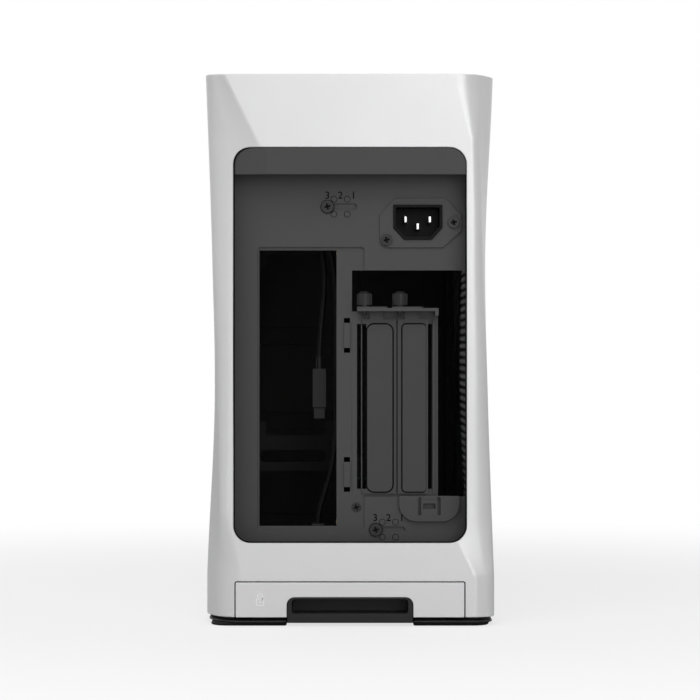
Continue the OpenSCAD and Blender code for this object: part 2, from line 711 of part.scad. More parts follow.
module inlet_pin_holes(grow) {
    for (p = pin_places) translate([inlet_x + p[0] - pin_w / 2 - grow, inlet_z + p[1] - pin_h / 2 - grow])
        square([pin_w + 2 * grow, pin_h + 2 * grow]);
}

module mains_inlet() {
    color("black") difference() {
        wall_plate(inlet_y, inlet_l) inlet_outline(0);
        wall_plate(inlet_y - cut, inlet_depth + cut) inlet_outline(-inlet_wall);
        wall_plate(inlet_y, inlet_l + cut) inlet_pin_holes(0);
    }
}

module inlet_pins() {
    color("silver") wall_plate(inlet_y + inlet_rim, inlet_l) inlet_pin_holes(0);
}

module inlet_flange() {
    color("black") wall_plate(panel_y - sheet_t, sheet_t) difference() {
        translate([inlet_x, inlet_z]) polygon([for (p = inlet_flange_share) [p[0] * inlet_w,
            p[1] * inlet_h]]);
        inlet_outline(0);
        for (p = inlet_screw_places) translate(p) circle(inlet_screw_r + axle_gap);
    }
}

head_t2 = 1.5;                          // thickness of the small screw heads
drive_w = 1;                            // width of the cross in a screw head
// A flat-topped screw along Y with its head's seat at y
module pan_screw(x, z, y, head, r, l, t = head_t2) {
    translate([x, y, z]) rotate([-90, 0, 0]) difference() {
        union() {
            cylinder(r = r, h = l);
            translate([0, 0, -t]) cylinder(r = head, h = t);
        }
        for (a = [0, 90]) rotate([0, 0, a]) translate([-head / 2, -drive_w / 2, -t - cut])
            cube([head, drive_w, t / 2 + cut]);
    }
}

module inlet_screws() {
    color("black") for (p = inlet_screw_places) pan_screw(p[0], p[1], panel_y - sheet_t, inlet_head_r,
        inlet_screw_r, 2 * sheet_t + slide_gap / 2);
}

// Front strip
strip_y = front_y - drawer_t;           // inner face of the front strip
strip_w = notch_w - 2 * seam;
strip_top = notch_top - seam;
board_t = 1.6;                          // thickness of the circuit boards
port_depth = 12;                        // length of a port
usb_c_w = 9;                            // width of the small port
usb_c_h = 3.2;                          // height of the small port
usb_a_w = 13.1;                         // width of a large port
usb_a_h = 5.7;                          // height of a large port
usb_a_pitch = 18;                       // pitch of the large ports
jack_r = usb_a_h / 2;                          // outer radius of the audio jack
jack_bore = 1.75;                       // bore of the audio jack
usb_c_x = 28;                           // places of the ports from the middle
usb_a_x = 10;
jack_x = 30;
port_wall = 0.5;                        // wall of a port

module strip_holes() {
    translate([button_x, port_z]) circle(button_r + slide_gap);
    track(usb_c_x - usb_c_w / 2 + usb_c_h / 2, usb_c_x + usb_c_w / 2 - usb_c_h / 2, port_z,
        usb_c_h + 2 * axle_gap);
    for (i = [0, 1]) translate([usb_a_x - i * usb_a_pitch - usb_a_w / 2 - axle_gap,
        port_z - usb_a_h / 2 - axle_gap]) square([usb_a_w + 2 * axle_gap, usb_a_h + 2 * axle_gap]);
    translate([-jack_x, port_z]) circle(jack_r + axle_gap);
}

module front_io_strip() {
    color("gainsboro") {
        wall_plate(strip_y, drawer_t) difference() {
            round_rect(-strip_w / 2, strip_w / 2, base_h, strip_top, seam);
            strip_holes();
        }
        for (s = [-1, 1]) translate([s > 0 ? strip_w / 2 - post_d : -strip_w / 2, plate_y, base_h])
            cube([post_d, strip_y - plate_y, post_d]);
    }
}

board_z = port_z - usb_a_h / 2 - board_t; // underside of the port board
module io_board() {
    color("darkgreen") translate([-strip_w / 2 + post_d, plate_y, board_z])
        cube([strip_w - 2 * post_d, strip_y - spring_l - plate_y, board_t]);
}

module power_switch() {
    color("black") translate([button_x - button_r / 2, plate_y + spring_l, board_z + board_t])
        cube([button_r, strip_y - plate_y - 2 * spring_l + slide_gap, usb_a_h]);
}
spring_l = 4;                           // gap from the port board to the strip

module usb_c_port() {
    color("silver") {
        wall_plate(front_y - port_depth, port_depth) difference() {
            track(usb_c_x - usb_c_w / 2 + usb_c_h / 2, usb_c_x + usb_c_w / 2 - usb_c_h / 2, port_z,
                usb_c_h);
            track(usb_c_x - usb_c_w / 2 + usb_c_h / 2, usb_c_x + usb_c_w / 2 - usb_c_h / 2, port_z,
                usb_c_h - 2 * port_wall);
        }
        translate([usb_c_x - usb_c_w / 4, front_y - port_depth, board_z + board_t])
            cube([usb_c_w / 2, strip_y - spring_l - front_y + port_depth,
            (usb_a_h - usb_c_h) / 2 + port_wall / 2]);
    }
}

module usb_a_ports() {
    color("silver") for (i = [0, 1]) translate([usb_a_x - i * usb_a_pitch, 0, port_z])
        wall_plate(front_y - port_depth, port_depth) difference() {
        square([usb_a_w, usb_a_h], center = true);
        square([usb_a_w - 2 * port_wall, usb_a_h - 2 * port_wall], center = true);
    }
}

module audio_jack() {
    color("black") translate([-jack_x, front_y, port_z]) rotate([90, 0, 0]) difference() {
        cylinder(r = jack_r, h = port_depth);
        translate([0, 0, -cut]) cylinder(r = jack_bore, h = port_depth - cut);
    }
}

module power_button() {
    color("gainsboro") translate([button_x, front_y, port_z]) rotate([90, 0, 0]) {
        cylinder(r = button_r, h = drawer_t + bump_t);
        translate([0, 0, drawer_t]) cylinder(r = button_r / 2,
            h = spring_l - button_travel - 2 * slide_gap);
    }
}

// Leads inside the board chamber
lead_d = 60;                            // depth of the clip and the leads behind the rear face
lead_r = 1.5;                           // radius of the thin leads
clip_y = rear_y + lead_d;               // its depth, and that of the leads
lead_top = deck_z - 40;                 // height where the leads leave the clip
// Points of the leads: place across, depth behind the clip, drop below it
usb_drops = [[-17, 0, 0], [-16, 0, 10], [-15, 0, 22], [-15.5, 0, 34], [-16.5, 0, 46], [-17.5, 0, 58],
    [-18, 0, 69]];
panel_drops = [[-14, 0, 0], [-11, 1, 9], [-9, 3, 22], [-8, 5, 42], [-8, 7, 64], [-8, 8, 86],
    [-8, 9, 106], [-9, 10, 122], [-11, 11, 136], [-15, 12, 150], [-18, 12, 160], [-19, 12, 168]];
function hung(drops) = [for (p = drops) [p[0], clip_y + p[1], lead_top - p[2]]];
usb_route = hung(usb_drops);
panel_route = hung(panel_drops);
clip_x = -15.5;                         // place of the cable clip
clip_w = 9;                             // size of the clip
clip_d = 6;
clip_h = 4;
plug_w = 8.3;                           // width of the lead's plug
plug_d = 12;                            // depth of the plug
plug_h = 23;                            // height of the plug
plug_tip_h = 6.5;                       // height of its metal tip
relief_r = 2.2;                         // radius of the strain relief
relief_h = 7;                           // height of the strain relief

// A tube through the points of a route, with a ring of sides at each
function along(p, i) = let (d = p[min(i + 1, len(p) - 1)] - p[max(i - 1, 0)]) d / norm(d);
module lead(p, r, sides) {
    n = len(p);
    rings = [for (i = [0:n - 1]) let (d = i == 0 || i == n - 1 ? [0, 0, -1] : along(p, i),
        a = cross(d, [0, 1, 0]), u = a / norm(a), v = cross(d, u))
        [for (k = [0:sides - 1]) p[i] + r * (cos(360 * k / sides) * u + sin(360 * k / sides) * v)]];
    polyhedron(points = [for (q = rings) each q], faces = concat(
        [[for (k = [0:sides - 1]) k]], [[for (k = [sides - 1:-1:0]) (n - 1) * sides + k]],
        [for (i = [0:n - 2], k = [0:sides - 1]) [i * sides + k, (i + 1) * sides + k,
            (i + 1) * sides + (k + 1) % sides]],
        [for (i = [0:n - 2], k = [0:sides - 1]) [i * sides + k, (i + 1) * sides + (k + 1) % sides,
            i * sides + (k + 1) % sides]]));
}

module usb_lead() { color("black") lead(usb_route, lead_r, 8); }
module panel_lead() { color("black") lead(panel_route, lead_r, 8); }

module usb_plug() {
    end = usb_route[len(usb_route) - 1];
    color("black") translate(end) {
        translate([0, 0, -relief_h]) cylinder(r = relief_r, h = relief_h);
        translate([-plug_w / 2, -plug_d / 2, -relief_h - plug_h]) cube([plug_w, plug_d, plug_h]);
        translate([-plug_w / 2 + lead_r / 2, -plug_d / 2 + lead_r / 2, -relief_h - plug_h - plug_tip_h])
            cube([plug_w - lead_r, plug_d - lead_r, plug_tip_h]);
    }
}

module panel_plug() {
    end = panel_route[len(panel_route) - 1];
    color("black") translate(end) translate([-plug_w / 2, -plug_d / 2, -plug_h / 2])
        cube([plug_w, plug_d, plug_h / 2]);
}

// The clip hangs on a strip from the fan deck and holds both leads
module cable_clip() {
    color("silver") {
        translate([clip_x - clip_w / 2, clip_y - clip_d / 2, lead_top]) cube([clip_w, clip_d, clip_h]);
        translate([clip_x - clip_w / 2, clip_y - clip_d / 2, lead_top + clip_h])
            cube([clip_w, sheet_t, deck_z - lead_top - clip_h]);
    }
}

// Spine
spine_z = floor_top + slide_gap;        // lower edge of the spine
spine_top = deck_z - sheet_t - slide_gap;
spine_r = spine_x - sheet_t;            // the card side face of the plate, left of the middle
io_left = -io_win_left + io_inset;      // left edge of the board cut-out at rest
frame_left = 1.15;                      // right edge of the strip between the cut-outs
board_y = flange_in + 11;               // place of the rear standoffs
standoff_places = [for (y = [board_y, board_y + board_d], z = [io_z - board_h / 2, io_z + board_h / 2])
    [y, z]];

module spine_plate() {
    color("dimgray") difference() {
        translate([-spine_x, flange_in, spine_z]) cube([sheet_t, spine_d, spine_top - spine_z]);
        for (p = standoff_places) translate([-spine_x - cut, p[0], p[1]]) rotate([0, 90, 0])
            cylinder(r = standoff_bore, h = sheet_t + 2 * cut);
        translate([-spine_x - cut, board_y + board_d / 4, io_z - io_h / 6])
            cube([sheet_t + 2 * cut, board_d / 2, io_h / 3]);
    }
}

module board_standoffs() {
    color("goldenrod") for (p = standoff_places) translate([-spine_x - standoff_l, p[0], p[1]])
        rotate([0, 90, 0]) difference() {
        cylinder(r = standoff_r, h = standoff_l);
        translate([0, 0, -cut]) cylinder(r = standoff_bore, h = standoff_l + 2 * cut);
    }
}

tab_w = 14;                             // half width of the tabs that the position screws hold
lance_w = 3.5;                          // width of the two bridge lances
lance_h = 20;                           // length of a lance with the slots at its ends
lance_end = 2.8;                        // length of the slot at each end of a lance
lance_places = [165.4, 85.3];           // heights of the middles of the lances
edge_screw = [3.7, 66.3];               // place of the flush screw beside the card slots
edge_head_r = 2.9;                      // radius of its head
edge_sink = sheet_t * 0.8;              // how deep its head is sunk

module io_flange() {
    color("dimgray") {
        difference() {
            wall_plate(flange_y, sheet_t) difference() {
                union() {
                    round_rect(-io_win_left - spine_travel - sheet_t, frame_left, spine_z, spine_top,
                        win_r);
                    translate([0, spine_z]) square([track_low_x + spine_travel + track_w,
                        card_win_z - spine_z - slide_gap]);
                    translate([0, card_win_top]) square([io_win_right + sheet_t / 2, recess_d]);
                    translate([-track_top_x, card_win_top + recess_d / 2])
                        square([track_top_x + tab_w / 2, spine_top - card_win_top - recess_d / 2]);
                }
                translate([io_left, io_z - io_h / 2]) square([io_w, io_h]);
                for (p = track_screws) translate(p) circle(track_screw_r + axle_gap);
                translate(edge_screw) circle(track_screw_r + axle_gap);
                for (z = lance_places, s = [-1, 1])
                    translate([-lance_w, z + s * (lance_h - lance_end) / 2 - lance_end / 2])
                        square([lance_w, lance_end]);
            }
            wall_plate(flange_y - cut, edge_sink + cut) translate(edge_screw)
                circle(edge_head_r + axle_gap);
        }
        for (z = lance_places)
            translate([-lance_w, flange_y - sheet_t - slide_gap, z - lance_h / 2 + lance_end])
                cube([lance_w, sheet_t + slide_gap, lance_h - 2 * lance_end]);
    }
}
track_screws = [[-track_top_x, track_top_z], [track_low_x, track_low_z]];
track_screw_r = 1.5;                    // radius of the position screws

module position_screws() {
    color("black") {
        for (p = track_screws) pan_screw(p[0], p[1], panel_y - slide_gap, track_head_r, track_screw_r,
            3 * sheet_t + 2 * slide_gap);
        pan_screw(edge_screw[0], edge_screw[1], flange_y + edge_sink, edge_head_r, track_screw_r,
            2 * sheet_t, edge_sink);
    }
}

// Card slots
cover_top = cover_z + cover_h;
head_z = cover_top + head_rise;         // underside of the slot head
head_y = flange_y - head_out;           // rear edge of the slot head
cover_y = flange_y - 2 * sheet_t;       // outer face of a cover's sheet
cover_t = 0.8;                          // sheet of a cover
cover_x0 = slot_x - slot_pitch / 2;     // left edge of the first cover
column_w = 5;                           // width of the light column right of the covers
groove_w = 2.3;                         // width of the long grooves beside the covers
groove_rib = 0.7;                       // rib between the two grooves left of the covers
groove_z = cover_z + 2.7 * rim_gap;     // lower end of the grooves
groove_h = cover_h - 5.4 * rim_gap;     // length of the grooves
pad_groove = 0.8;                       // width of the groove round a pad
column_x = slot_x + 1.5 * slot_pitch - 4 * rim_gap; // left edge of that column
head_left = slot_x - slot_pitch / 2 - 3 * rim_gap;
neck_w = 8;                             // width of the neck of a cover
function neck_x(i) = cover_x0 + i * slot_pitch + slot_pitch * 0.2;
screw_x = [slot_x - slot_pitch * 0.44, slot_x + slot_pitch * 0.56];
thumb_y = head_y + head_out * 0.45;

module slot_frame_outline() {
    translate([frame_left, card_win_z - slide_gap])
        square([cover_x0 - frame_left + 2 * rim_gap, head_z - card_win_z + slide_gap]);
    translate([column_x, card_win_z - slide_gap])
        square([slot_right - column_x, head_z - card_win_z + slide_gap]);
    translate([frame_left, cover_top - rim_gap])
        square([slot_right - frame_left, head_z - cover_top + rim_gap]);
    translate([frame_left, card_win_z - slide_gap])
        square([slot_right - frame_left, cover_z - card_win_z + 2 * rim_gap]);
}

module slot_frame() {
    color("dimgray") {
        wall_plate(flange_y, sheet_t) difference() {
            slot_frame_outline();
            for (x = [cover_x0 - groove_w - groove_rib, cover_x0, column_x + 1.2 * rim_gap])
                translate([x, groove_z]) square([groove_w, groove_h]);
        }
        difference() {
            translate([head_left, head_y, head_z]) cube([slot_right - head_left, head_out + sheet_t,
                head_t]);
            for (x = screw_x) translate([x, thumb_y, head_z - cut])
                cylinder(r = thumb_r + axle_gap, h = head_t + 2 * cut);
            for (i = [0, 1]) translate([neck_x(i) - axle_gap, cover_y - axle_gap, head_z - cut])
                cube([neck_w + 2 * axle_gap, cover_t + 2 * axle_gap, head_t + 2 * cut]);
        }
        translate([slot_right - 2 * rim_gap, head_y, head_z - head_rise * 0.6])
            cube([2 * rim_gap, head_out, head_rise * 0.6]);
        translate([column_x, cover_y, cover_z]) cube([rim_gap * 1.2, 2 * sheet_t, cover_h]);
        translate([slot_right - 3 * rim_gap, cover_y, cover_z]) cube([rim_gap, 2 * sheet_t, cover_h]);
        translate([slot_right - sheet_t, flange_in, card_win_z])
            cube([sheet_t, head_out, head_z - card_win_z]);
    }
}

// Outline of the pad of a cover; the second one ends at the light column
module pad_outline(i) {
    x = cover_x0 + i * slot_pitch + (slot_pitch - seam) * 0.145;
    round_rect(x, min(x + pad_w, column_x), cover_z + 1.3 * rim_gap, cover_top - 3 * rim_gap,
        i == 0 ? pad_r : pad_r / 2);
}

module slot_cover(i) {
    x = cover_x0 + i * slot_pitch;
    w = slot_pitch - seam;
    color("dimgray") {
        difference() {
            wall_plate(cover_y, cover_t) difference() {
                translate([x, cover_z]) square([min(w, column_x - x), cover_h]);
                if (i == 0) translate([x - cut, groove_z]) square([groove_w + cut, groove_h]);
            }
            wall_plate(cover_y - cut, cover_t * 0.7 + cut) difference() {
                offset(delta = pad_groove) pad_outline(i);
                pad_outline(i);
            }
        }
        wall_plate(cover_y - pad_t, pad_t + cover_t / 2) pad_outline(i);
        translate([neck_x(i), cover_y, cover_top - cover_t])
            cube([neck_w, cover_t, head_z + head_t + cover_t - cover_top]);
        difference() {
            translate([screw_x[i] - thumb_d / 2, head_y, head_z + head_t])
                cube([2 * thumb_d, cover_y + cover_t - head_y, cover_t]);
            translate([screw_x[i], thumb_y, head_z]) cylinder(r = thumb_r + axle_gap,
                h = 2 * head_t + cut);
        }
    }
}

thumb_z = head_z + head_t + cover_t + thumb_neck; // underside of a knurled head
knurls = 24;                            // ribs round a thumbscrew
join = slide_gap / 3;                   // how far its turned parts reach into each other
module thumbscrew(i) {
    color("black") translate([screw_x[i], thumb_y, thumb_z]) {
        difference() {
            cylinder(r = thumb_d / 2, h = thumb_h);
            for (k = [0:knurls - 1]) rotate([0, 0, k * 360 / knurls]) translate([thumb_d / 2, 0, -cut])
                cylinder(r = thumb_d / 30, h = thumb_h + 2 * cut);
        }
        translate([0, 0, thumb_h - join]) cylinder(r1 = thumb_d * 0.44, r2 = thumb_d * 0.22, h = thumb_dome + join);
        translate([0, 0, -thumb_neck + join]) cylinder(r = thumb_d / 3, h = thumb_neck);
        translate([0, 0, -thumb_neck - cover_t - head_t - join])
            cylinder(r = thumb_r, h = cover_t + head_t + thumb_neck + join);
        translate([0, 0, -thumb_neck - cover_t - head_t - thumb_tip])
            cylinder(r1 = thumb_r / 3, r2 = thumb_r, h = thumb_tip);
    }
}

riser_w = 89;                           // length of the riser socket
riser_h = 11;                           // height of the riser socket
riser_t = 8;                            // width of the riser socket
riser_z = 88;                           // lower edge of the riser board
riser_in = 45;                          // distance of the riser behind the flange
riser_y = flange_in + riser_in;
module riser_board() {
    color("darkgreen") translate([-spine_r, riser_y, riser_z - riser_t])
        cube([riser_h * 1.5, riser_w * 1.1, board_t]);
}

module riser_socket() {
    color("black") translate([-spine_r + riser_t / 2, riser_y + riser_w * 0.05,
        riser_z - riser_t + board_t]) difference() {
        cube([riser_t, riser_w, riser_h]);
        translate([riser_t / 3, riser_t / 2, riser_t / 3]) cube([riser_t / 3, riser_w - riser_t,
            riser_h]);
    }
}

// Card retainer
ret_tab_w_share = [0.34, 0.66];           // left and right ends of the snap tab
ret_win_share = [0.4, 0.6];             // left and right ends of the window in the tab
ret_slit = 1.7;                         // width of the slits beside the tab
module slot_retainer() {
    color("dimgray") difference() {
        wall_plate(panel_y - slide_gap - ret_t, ret_t) difference() {
            intersection() {
                round_rect(ret_x, ret_x + ret_w, ret_z, ret_z + 2 * ret_h, ret_r);
                translate([ret_x, ret_z]) square([ret_w, ret_h]);
            }
            for (s = ret_tab_w_share) translate([ret_x + s * ret_w - ret_slit / 2, ret_z + ret_h / 4])
                square([ret_slit, ret_h * 0.68]);
            translate([ret_x + ret_win_share[0] * ret_w, ret_z + ret_h / 2])
                square([(ret_win_share[1] - ret_win_share[0]) * ret_w, ret_h / 5]);
        }
        translate([ret_x + ret_tab_w_share[0] * ret_w, panel_y - slide_gap - ret_t - cut,
            ret_z + ret_h * 0.82])
            cube([(ret_tab_w_share[1] - ret_tab_w_share[0]) * ret_w, ret_t * 0.6 + cut, ret_h / 5 + cut]);
    }
}

// Drawer
filter_y = rear_y + pocket_d + liner_wall + 2 * slide_gap; // rear end of the filter frame
filter_z = base_h + slide_gap;
lock_x = 51;                            // place of the lock mark, left of the middle
lock_z = 15;                            // height of the middle of the lock mark

module drawer_front() {
    color("gainsboro") wall_plate(rear_y, drawer_t) difference() {
        round_rect(-notch_w / 2 + seam, notch_w / 2 - seam, base_h + slide_gap, notch_top - seam, seam);
        round_rect(-grip_w / 2, grip_w / 2, -grip_top, grip_top, grip_r);
    }
}

module grip_liner() {
    x = grip_w / 2 - grip_gap;
    color("black") difference() {
        union() {
            rear_prism(-x, x, under_h, grip_top - grip_gap, rear_y, rear_y + pocket_d + liner_wall,
                grip_r);
            translate([-x, rear_y, under_h]) cube([2 * x, pocket_d + liner_wall, grip_r]);
            translate([-rail_x + slide_gap, rear_y + drawer_t, filter_z])
                cube([2 * rail_x - 2 * slide_gap, liner_wall, strip_top - filter_z - slide_gap]);
        }
        rear_prism(-x + liner_wall, x - liner_wall, lip_top, grip_top - grip_gap - liner_wall / 3,
            rear_y - cut, rear_y + pocket_d, 2 * liner_wall / 3);
    }
}

module filter_frame() {
    color("black") difference() {
        translate([-filter_w / 2, filter_y - slide_gap * 2, filter_z])
            cube([filter_w, filter_l, filter_t]);
        translate([-filter_w / 2 + filter_rim, filter_y + filter_rim, filter_z - cut])
            cube([filter_w - 2 * filter_rim, filter_l - 2 * filter_rim, filter_t + 2 * cut]);
    }
}

module filter_mesh() {
    color("gray") translate([-filter_w / 2 + filter_rim, filter_y + filter_rim, filter_z + filter_t / 2])
        cube([filter_w - 2 * filter_rim, filter_l - 2 * filter_rim, mesh_t]);
}
mesh_t = 0.5;                           // thickness of the dust filter's net

rod_w = 4;                              // width of a latch rod
module latch_rods() {
    color("silver") for (s = [-1, 1]) translate([s > 0 ? filter_w / 2 : -filter_w / 2 - rod_w,
        rear_y + drawer_t + liner_wall, filter_z])
        cube([rod_w, filter_l * 0.9, filter_t]);
}

outer_shell();
rear_brow();
shell_ledge();
top_panel();
top_panel_frame();
top_panel_studs();
base_tray();
rubber_feet();
base_frame();
floor_plate();
rear_panel();
front_plate();
corner_posts();
fan_deck();
psu_bracket();
fan_frame(-fan_y);  // fan_frame_1
fan_frame(fan_y);  // fan_frame_2
fan_rotor(-fan_y);  // fan_rotor_1
fan_rotor(fan_y);  // fan_rotor_2
mains_inlet();
inlet_flange();
inlet_pins();
inlet_screws();
front_io_strip();
io_board();
usb_c_port();
usb_a_ports();
audio_jack();
power_button();
power_switch();
cable_clip();
usb_lead();
usb_plug();
panel_lead();
panel_plug();
spine_plate();
io_flange();
slot_frame();
slot_cover(0);  // slot_cover_1
slot_cover(1);  // slot_cover_2
board_standoffs();
position_screws();
riser_board();
riser_socket();
slot_retainer();
thumbscrew(0);  // thumbscrew_1
thumbscrew(1);  // thumbscrew_2
drawer_front();
grip_liner();
filter_frame();
filter_mesh();
latch_rods();
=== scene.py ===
import json
import bpy
import bmesh
import numpy as np
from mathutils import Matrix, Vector


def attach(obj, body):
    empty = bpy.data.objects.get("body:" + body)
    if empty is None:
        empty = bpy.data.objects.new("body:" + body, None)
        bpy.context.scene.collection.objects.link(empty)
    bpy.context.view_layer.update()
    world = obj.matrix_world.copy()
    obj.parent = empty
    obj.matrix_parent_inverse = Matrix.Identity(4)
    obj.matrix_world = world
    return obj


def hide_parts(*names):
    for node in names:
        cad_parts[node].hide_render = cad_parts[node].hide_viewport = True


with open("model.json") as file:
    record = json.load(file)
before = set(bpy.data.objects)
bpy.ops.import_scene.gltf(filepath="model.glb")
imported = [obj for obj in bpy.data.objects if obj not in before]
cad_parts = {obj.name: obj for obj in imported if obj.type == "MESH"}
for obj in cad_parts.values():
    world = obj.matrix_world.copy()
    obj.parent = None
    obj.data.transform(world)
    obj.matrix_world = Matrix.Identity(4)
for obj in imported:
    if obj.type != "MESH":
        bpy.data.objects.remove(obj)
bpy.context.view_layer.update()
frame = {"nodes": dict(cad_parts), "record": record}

mm = 0.001
bodyOf = {node: body for body, held in frame["record"]["behaviour"]["bodies"].items() for node in held}
finishOf = {part["node"]: part["material_slot"] for part in frame["record"]["subparts"]}


# Puts an object into the scene, once.
def linkPiece(piece):
    if piece.name not in bpy.context.scene.collection.objects:
        bpy.context.scene.collection.objects.link(piece)
    return piece


# Links a piece, gives it its finish, and lets it ride on a body. It may stand for frame nodes.
def placePiece(piece, body, finish, stands=()):
    linkPiece(piece)
    piece.data.materials.clear()
    piece.data.materials.append(materials[finish])
    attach(piece, body)
    if stands:
        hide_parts(*stands)
    return piece


# Smooth shading, with edges sharp from an angle in degrees.
def shadeSmooth(mesh, angle):
    mesh.shade_smooth()
    mesh.set_sharp_from_angle(angle=np.radians(angle))


# A mesh object from points in metres and faces by index.
def meshPiece(name, points, faces, smooth=0):
    mesh = bpy.data.meshes.new(name)
    mesh.from_pydata(points.tolist(), [], faces)
    mesh.validate()
    mesh.update()
    if smooth:
        shadeSmooth(mesh, smooth)
    return linkPiece(bpy.data.objects.new(name, mesh))


# Quads between loops of points that follow each other: point k of loop r has the index r * count + k, and the
# last loop runs on into the first where there are as many bands as loops.
def loopQuads(bands, loops, count, closed=True):
    k = np.arange(count if closed else count - 1)
    after = (k + 1) % count
    starts = [(r * count, (r + 1) % loops * count) for r in range(bands)]
    return np.concatenate([np.column_stack([a + k, a + after, b + after, b + k]) for a, b in starts])


# Merges doubles and points every face outwards.
def recalculate(piece, nearest=2e-6):
    work = bmesh.new()
    work.from_mesh(piece.data)
    bmesh.ops.remove_doubles(work, verts=work.verts, dist=nearest)
    bmesh.ops.recalc_face_normals(work, faces=work.faces)
    if work.calc_volume(signed=True) < 0:
        bmesh.ops.reverse_faces(work, faces=work.faces)
    work.to_mesh(piece.data)
    work.free()
    piece.data.update()


# The mesh that an object has once its modifiers or its text are worked out.
def finalMesh(piece):
    return bpy.data.meshes.new_from_object(piece.evaluated_get(bpy.context.evaluated_depsgraph_get()))


# Lets large faces lead the shading, so that flat plates look flat beside their eased edges.
def evenNormals(piece, weight):
    normals = piece.modifiers.new("evenNormals", "WEIGHTED_NORMAL")
    normals.keep_sharp, normals.weight = True, weight


# Camera: straight behind the case, at half its height
cameraSettings = {"place": (0, -1.683, 0.157), "turn": (np.pi / 2, 0, 0), "lens": 135.8, "sensor": 36,
                  "nearest": 0.05}
cameraData = bpy.data.cameras.new("rearCamera")
cameraData.lens, cameraData.sensor_width = cameraSettings["lens"], cameraSettings["sensor"]
cameraData.clip_start = cameraSettings["nearest"]
camera = linkPiece(bpy.data.objects.new("rearCamera", cameraData))
camera.location, camera.rotation_euler = cameraSettings["place"], cameraSettings["turn"]
bpy.context.scene.camera = camera
bpy.context.scene.view_settings.view_transform = "Standard"


# Materials. Each effect that several finishes share is one node group, made here with its inputs' first values.
def newGroup(name, inputs, outputs):
    group = bpy.data.node_groups.new(name, "ShaderNodeTree")
    for label, value in inputs.items():
        kind = "NodeSocketColor" if isinstance(value, tuple) else "NodeSocketFloat"
        group.interface.new_socket(label, in_out="INPUT", socket_type=kind).default_value = value
    for label, kind in outputs.items():
        group.interface.new_socket(label, in_out="OUTPUT", socket_type="NodeSocket" + kind)
    return group, group.nodes.new("NodeGroupInput"), group.nodes.new("NodeGroupOutput")


# A node with its settings and its inputs' values, both by name; an underscore stands for a space.
def addNode(tree, kind, **values):
    node = tree.nodes.new(kind)
    for key, value in values.items():
        if key in node.bl_rna.properties:
            setattr(node, key, value)
        else:
            node.inputs[key.replace("_", " ")].default_value = value
    return node


# Gives each input its value, or the link where the value is another node's output.
def feedInputs(tree, inputs, values):
    for socket, value in zip(inputs, values):
        if isinstance(value, bpy.types.NodeSocket):
            tree.links.new(value, socket)
        else:
            socket.default_value = value


# One sum, product, power or other step on two values.
def mathNode(tree, operation, first, second, clamp=False):
    node = addNode(tree, "ShaderNodeMath", operation=operation, use_clamp=clamp)
    feedInputs(tree, node.inputs, (first, second))
    return node.outputs[0]


# The first colour where the factor is 0, the second where it is 1. A Mix node's colours are its inputs 6 and 7.
def mixColour(tree, factor, first, second):
    node = addNode(tree, "ShaderNodeMix", data_type="RGBA")
    feedInputs(tree, (node.inputs[0], node.inputs[6], node.inputs[7]), (factor, first, second))
    return node.outputs[2]


# A grey of one value, with a little more blue where asked.
def grey(value, blue=0.0):
    return (value, value, value * (1 + blue), 1)


# Small even grain of a blasted, painted or moulded skin: a height, and a value round nought for roughness.
def fineGrainGroup():
    group, enter, leave = newGroup("fineGrain", {"Scale": 900.0, "Spread": 0.06},
                                   {"Height": "Float", "Roughness": "Float"})
    join = group.links.new
    place = addNode(group, "ShaderNodeTexCoord")
    small = addNode(group, "ShaderNodeTexNoise", Detail=3.0, Roughness=0.7)
    wide = addNode(group, "ShaderNodeTexNoise", Scale=9.0, Detail=2.0)
    join(place.outputs["Object"], small.inputs["Vector"])
    join(place.outputs["Object"], wide.inputs["Vector"])
    join(enter.outputs["Scale"], small.inputs["Scale"])
    both = mathNode(group, "ADD", small.outputs["Fac"], wide.outputs["Fac"])
    spread = mathNode(group, "MULTIPLY", mathNode(group, "SUBTRACT", both, 1.0), enter.outputs["Spread"])
    join(small.outputs["Fac"], leave.inputs["Height"])
    join(spread, leave.inputs["Roughness"])
    return group


# Very soft patches of a second tone, as handling and uneven coating leave on any finish.
def softToneGroup():
    group, enter, leave = newGroup("softTone", {"Colour": grey(0.5), "Patch": grey(0.4), "Scale": 14.0},
                                   {"Colour": "Color"})
    join = group.links.new
    place = addNode(group, "ShaderNodeTexCoord")
    noise = addNode(group, "ShaderNodeTexNoise", Detail=4.0, Roughness=0.6)
    ramp = addNode(group, "ShaderNodeMapRange", From_Min=0.35, From_Max=0.7)
    join(place.outputs["Object"], noise.inputs["Vector"])
    join(enter.outputs["Scale"], noise.inputs["Scale"])
    join(noise.outputs["Fac"], ramp.inputs["Value"])
    tone = mixColour(group, ramp.outputs["Result"], enter.outputs["Colour"], enter.outputs["Patch"])
    join(tone, leave.inputs["Colour"])
    return group


# Where dust rests: faces that look up, broken by noise. Only a trace, to keep new parts new.
def restingDustGroup():
    group, enter, leave = newGroup("restingDust", {"Amount": 0.05}, {"Mask": "Float"})
    join = group.links.new
    place, surface = addNode(group, "ShaderNodeTexCoord"), addNode(group, "ShaderNodeNewGeometry")
    parts = addNode(group, "ShaderNodeSeparateXYZ")
    noise = addNode(group, "ShaderNodeTexNoise", Scale=260.0, Detail=5.0, Roughness=0.75)
    join(place.outputs["Object"], noise.inputs["Vector"])
    join(surface.outputs["Normal"], parts.inputs[0])
    upward = mathNode(group, "POWER", mathNode(group, "MAXIMUM", parts.outputs["Z"], 0.0), 3.0)
    speck = mathNode(group, "MULTIPLY", noise.outputs["Fac"], upward)
    join(mathNode(group, "MULTIPLY", speck, enter.outputs["Amount"], clamp=True), leave.inputs["Mask"])
    return group


